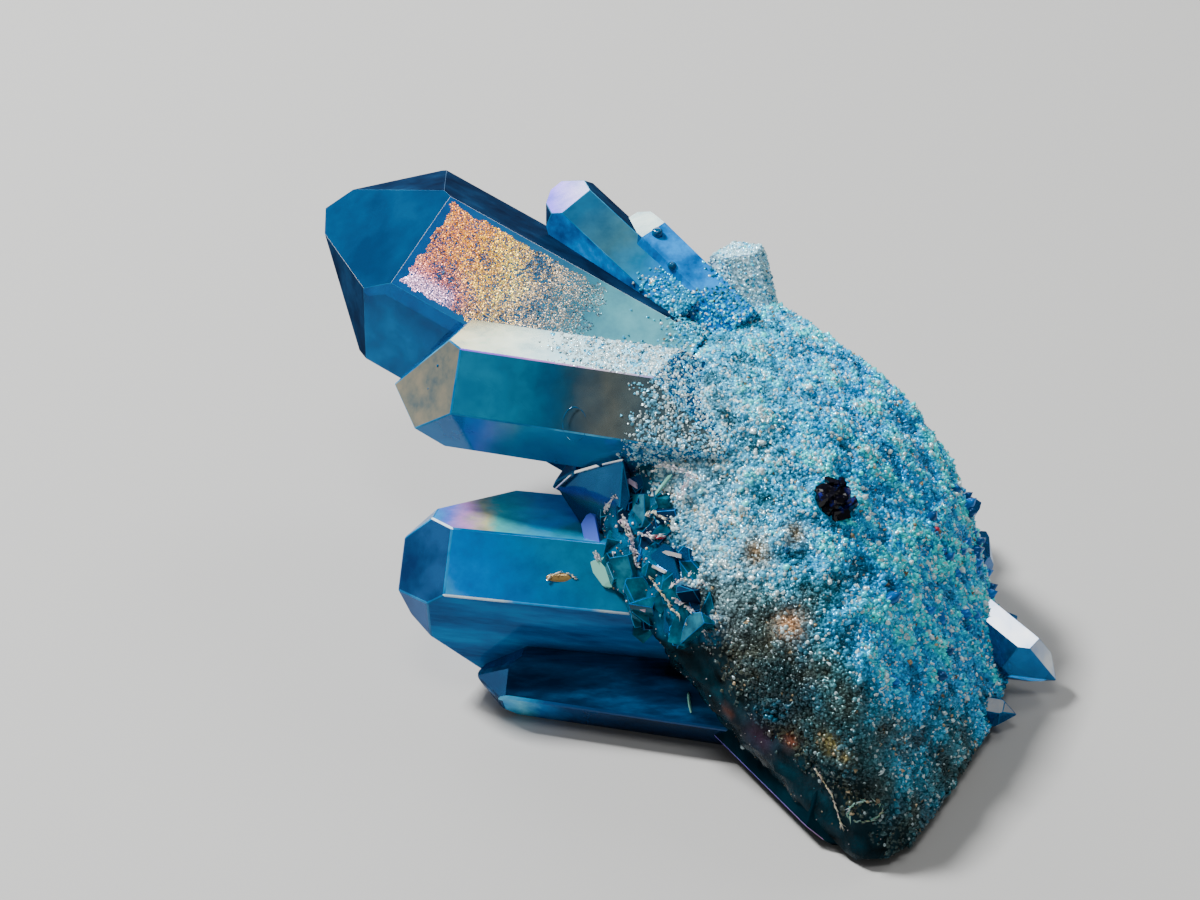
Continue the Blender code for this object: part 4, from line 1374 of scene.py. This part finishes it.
print(len(shards), "plates and chips")

plate = hull_of("glass_plate", PLATE_CORNERS)
# its bevel gets the bright edge finish, a painted highlight
shards.append(chip_of_glass(plate, finish_of("deep_azure"), finish_of("edge_painted_highlight"), 0.08))
broken_plates = join_all("broken_plates", shards)
broken_plates.data.validate()  # drops the second side of splinters that were cut down to nothing
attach(broken_plates, "root")
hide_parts("quartz_cluster")

# %% [markdown]
# Broken edges shine in thin threads, and the bare flank between them sparkles. Tiny cones are
# strewn along short paths, in stretches with gaps between them, and a ray cast along the line of
# sight lifts each one out of the mass if it would be hidden. More are sampled over the flank. Their
# pale colours are painted glints.


# %% Glints on the broken flank
GLINT_PATHS = (  # how wide it spreads, its colour and the corners of its path
    (0.26, "pearl", ((-6.8, -4.6, 16.0), (-6.4, -5.0, 17.8), (-5.8, -5.4, 18.9), (-5.2, -5.9, 18.4))),
    (0.34, "pearl", ((-5.4, -6.3, 18.0), (-5.1, -7.4, 17.8), (-4.6, -8.5, 17.3), (-4.3, -9.5, 16.4),
                     (-4.0, -10.4, 15.8))),
    (0.06, "straw", ((-3.9, -10.5, 15.7), (-3.0, -11.6, 15.4), (-2.3, -12.9, 15.1), (-1.3, -13.9, 14.3))),
    (0.24, "pearl", ((-7.5, -7.5, 15.4), (-7.1, -8.3, 14.7))),
    (0.24, "pearl", ((-6.1, -8.6, 15.8), (-5.8, -9.8, 15.0))),
    (0.20, "pearl", ((-3.8, -9.0, 17.8), (-2.9, -9.7, 18.0), (-1.9, -10.0, 18.4))),
    (0.14, "straw", ((-3.4, -8.0, 18.8), (-2.8, -8.4, 19.6), (-1.9, -9.2, 19.4))),
    (0.16, "pearl", ((-1.6, -12.8, 15.3), (0.1, -13.2, 17.0))),
    (0.20, "pearl", ((-1.3, -13.7, 15.0), (0.4, -15.1, 14.7), (1.2, -16.4, 13.6))),
    (0.10, "straw", ((-1.6, -13.8, 14.3), (-0.4, -15.0, 13.9), (0.8, -16.6, 12.6))),
    (0.30, "pearl", ((-3.2, -6.0, 21.6), (-2.2, -6.2, 22.6), (-0.6, -7.2, 22.8))),
    (0.30, "pearl", ((0.9, -8.6, 22.8), (0.1, -7.8, 22.8), (-0.7, -8.7, 21.2))),
    (0.03, "straw", ((9.6, -24.9, 7.0), (10.0, -25.4, 6.7), (10.9, -26.4, 5.6), (11.7, -27.6, 3.4))),
    (0.05, "straw", ((-11.3, -9.15, 13.25), (-10.9, -8.85, 13.60), (-10.1, -8.70, 13.80),
                     (-9.3, -8.85, 13.65), (-8.9, -9.10, 13.35))),
)
GLINT_COLOURS = {"pearl": (1.0, 0.92, 0.96), "mint": (0.32, 0.50, 0.42), "straw": (1.0, 0.90, 0.70)}
RAY_START = 12
LIFT = 0.05


def rest_on_druse(points):
    """Move points along the line of sight onto the druse wherever they would be hidden inside it."""
    if len(points) == 0:
        return points
    rested = []
    for point in points:
        start = Vector(point + TOWARD_VIEW * RAY_START) * MM
        hit, place, normal, index = druse_base.ray_cast(start, Vector(-TOWARD_VIEW))
        place = np.array(place) / MM if hit else np.array(point)
        rested.append(place if (place - point) @ TOWARD_VIEW > 0 else np.array(point))
    return np.array(rested) + TOWARD_VIEW * LIFT


glint_places, glint_leans, glint_widths, glint_heights, glint_tints = [], [], [], [], []
circle = [(math.cos(step / 3), math.sin(step / 3)) for step in range(20)]
ring = [(13.4 + 1.35 * x, -27.3 + 0.35 * y + 0.3 * x, 4.8 + 0.75 * y) for x, y in circle]
for spread, colour_name, path in GLINT_PATHS + ((0.10, "mint", ring),):
    for start, end in zip(path[:-1], path[1:]):
        start, end = np.array(start), np.array(end)
        length = np.linalg.norm(end - start)
        steps = max(4, int(length * (9 + 40 * spread)))
        places = start + (end - start) * rng.random(steps)[:, None]
        places = places + rng.normal(size=(steps, 3)) * spread * 0.4
        places = rest_on_druse(places[ripple(places, 0.7, 51) > -0.25])
        steps = len(places)
        glint_places.append(places)
        glint_leans.append(end - start + 0.35 * length * rng.normal(size=(steps, 3)))
        glint_widths.append(rng.uniform(0.04, 0.06 + 0.20 * spread, steps))
        glint_heights.append(rng.uniform(0.20, 0.55, steps))
        tone = np.array(GLINT_COLOURS[colour_name]) * rng.uniform(0.7, 1.2, (steps, 1))
        glint_tints.append(tone + rng.normal(size=(steps, 3)) * 0.06)
spots, normals = sample(druse_base, 300000, rng)
spots, normals = only(thin_out(spots, 0.24), spots, normals)
bare = bareness(spots, normals)
high = np.clip(view_height(spots) / 3, 0, 1)
patches = np.clip(0.5 + ripple(spots, 2.0, 44), 0, 1.5)
share = (0.02 + 0.10 * high) + (0.30 + 1.2 * high) * (1 - bare) * patches
wanted = (bare > 0.05) & (rng.random(len(spots)) < share) & (spots[:, 2] > 0.5)
spots, normals, high = only(wanted, spots, normals, high)
kinds = np.array([(1.0, 0.92, 0.96), (0.80, 0.62, 0.38), (0.10, 0.55, 0.75), (0.30, 0.20, 0.12)])
glint_places.append(spots + normals * 0.02)
glint_leans.append(TOWARD_VIEW + 0.9 * rng.normal(size=spots.shape))
glint_widths.append(rng.uniform(0.04, 0.07 + 0.08 * high))
glint_heights.append(glint_widths[-1] * 1.2)
# painted shade: the scattered glints are dimmer low down
glint_tints.append(kinds[rng.choice(4, len(spots), p=(0.46, 0.16, 0.26, 0.12))]
                   * rng.uniform(0.3, 1.0, (len(spots), 1)) * (0.5 + 0.5 * high[:, None]))
lay_grains(
    "flank_glints", np.concatenate(glint_places), np.concatenate(glint_leans),
    np.concatenate(glint_widths), np.concatenate(glint_heights),
    np.clip(np.concatenate(glint_tints), 0, 1), rng, FACET_PATTERN,
    tinted_finish("flank_glints", 0.12, 0.25)[0])

# %% [markdown]
# Small marks finish the faces: a curled rim where a flake broke away, dark beads and specks, and one
# flat amber lens. The rim is a torus squashed and sunk so that only part of it shows, and the beads
# are balls pushed out of round, because nothing on a natural stone is a true circle.


# %% Rim and beads
BEADS = (
    ((-2.2, 16.4, 30.35), (0.17, -0.36, 0.92), (0.50, 0.50, 0.50), "navy"),
    ((-1.0, 13.5, 28.95), (0.17, -0.36, 0.92), (0.36, 0.36, 0.36), "navy"),
    ((-20.1, 2.1, 26.5), (-0.76, -0.46, 0.46), (0.13, 0.13, 0.13), "navy"),
    ((-20.9, 1.6, 24.6), (-0.76, -0.46, 0.46), (0.10, 0.10, 0.10), "navy"),
    ((7.5, -14.2, 20.1), (0, -0.8, 0.6), (0.22, 0.22, 0.22), "navy"),
    ((20.2, -5.5, 15.7), (0.5, -0.5, 0.7), (0.26, 0.22, 0.22), "red"),
    ((-10.1, -8.90, 13.40), (-0.09, -0.70, 0.71), (1.25, 0.38, 0.10), "amber"),
)
dents = new_texture("dents", "CLOUDS", 0.0004)


def finish_mark(mark, radii, dent, finish_name):
    """Give a fresh mark its size, its dents in millimetres and its finish."""
    mark.scale = radii
    bpy.ops.object.transform_apply()
    push_out(mark, dents, dent)
    mark.data.materials.append(SHARD_FINISHES[finish_name])
    return mark


bpy.ops.object.select_all(action="DESELECT")
bpy.ops.mesh.primitive_torus_add(
    major_radius=1 * MM, minor_radius=0.028 * MM, major_segments=28, minor_segments=6,
    location=Vector((-9.0, -4.2, 25.1)) * MM, rotation=set_on_surface((1, 0, 0), (-0.21, -0.78, 0.59)))
marks = [finish_mark(bpy.context.object, (0.95, 1.35, 1), 0.12, "navy")]
for centre, outward, radii, finish_name in BEADS:
    bpy.ops.object.select_all(action="DESELECT")
    bpy.ops.mesh.primitive_ico_sphere_add(
        subdivisions=3, radius=1, location=Vector(centre) * MM, rotation=set_on_surface((1, 0, 0), outward))
    marks.append(finish_mark(bpy.context.object, Vector(radii) * MM, 0.5 * min(radii), finish_name))
    bpy.ops.object.shade_smooth()
face_marks = join_all("face_marks", marks)
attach(face_marks, "root")
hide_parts("quartz_cluster")
print("marks: 1 rim and", len(BEADS), "beads")

# %% [markdown]
# The black mineral grain is ragged and shiny. A ball is pulled into lumps by a Displace modifier,
# then small broken blocks are pushed into it on all sides, each cut from a cube by Bisect.


# %% Black mineral grain
bpy.ops.object.select_all(action="DESELECT")
bpy.ops.mesh.primitive_ico_sphere_add(subdivisions=4, radius=1, location=BLACK_GRAIN_AT * MM)
lump = bpy.context.object
lump.scale = (1.65 * MM, 1.20 * MM, 1.75 * MM)
bpy.ops.object.transform_apply()
push_out(lump, new_texture("crags", "VORONOI", 0.0009), 0.9, 0.4)
blocks = [lump]
rng = np.random.default_rng(SEED + 5)
for step in range(26):
    way = Vector(rng.normal(size=3)).normalized()
    offset = Vector((way.x * (1.8 + 0.5 * way.z), way.y * 1.15, way.z * 1.9))
    centre = Vector(BLACK_GRAIN_AT) + offset
    size = [rng.uniform(0.5, 1.1) for k in range(3)]
    blocks.append(splinter("block", centre, size, [rng.uniform(0, 3) for k in range(3)], rng, 3))
black_grain = join_all("black_grain", blocks)
black_finish, black_shader = new_finish("black_mineral")
tree = black_finish.node_tree
# black with patches of deep blue and lilac, which paint the grain's blue sheen
band = ramp(tree, noise(tree, 900).outputs["Fac"], (
    (0.0, (0.001, 0.001, 0.003)), (0.56, (0.002, 0.002, 0.006)), (0.66, (0.005, 0.01, 0.14)),
    (0.78, (0.10, 0.10, 0.26))))
tree.links.new(band.outputs["Color"], black_shader.inputs["Base Color"])
set_inputs(black_shader, {"Roughness": 0.14, "Specular IOR Level": 0.25})
black_grain.data.materials.append(black_finish)
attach(black_grain, "root")
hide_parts("black_mineral_grain")
print("black grain:", len(black_grain.data.polygons), "faces")
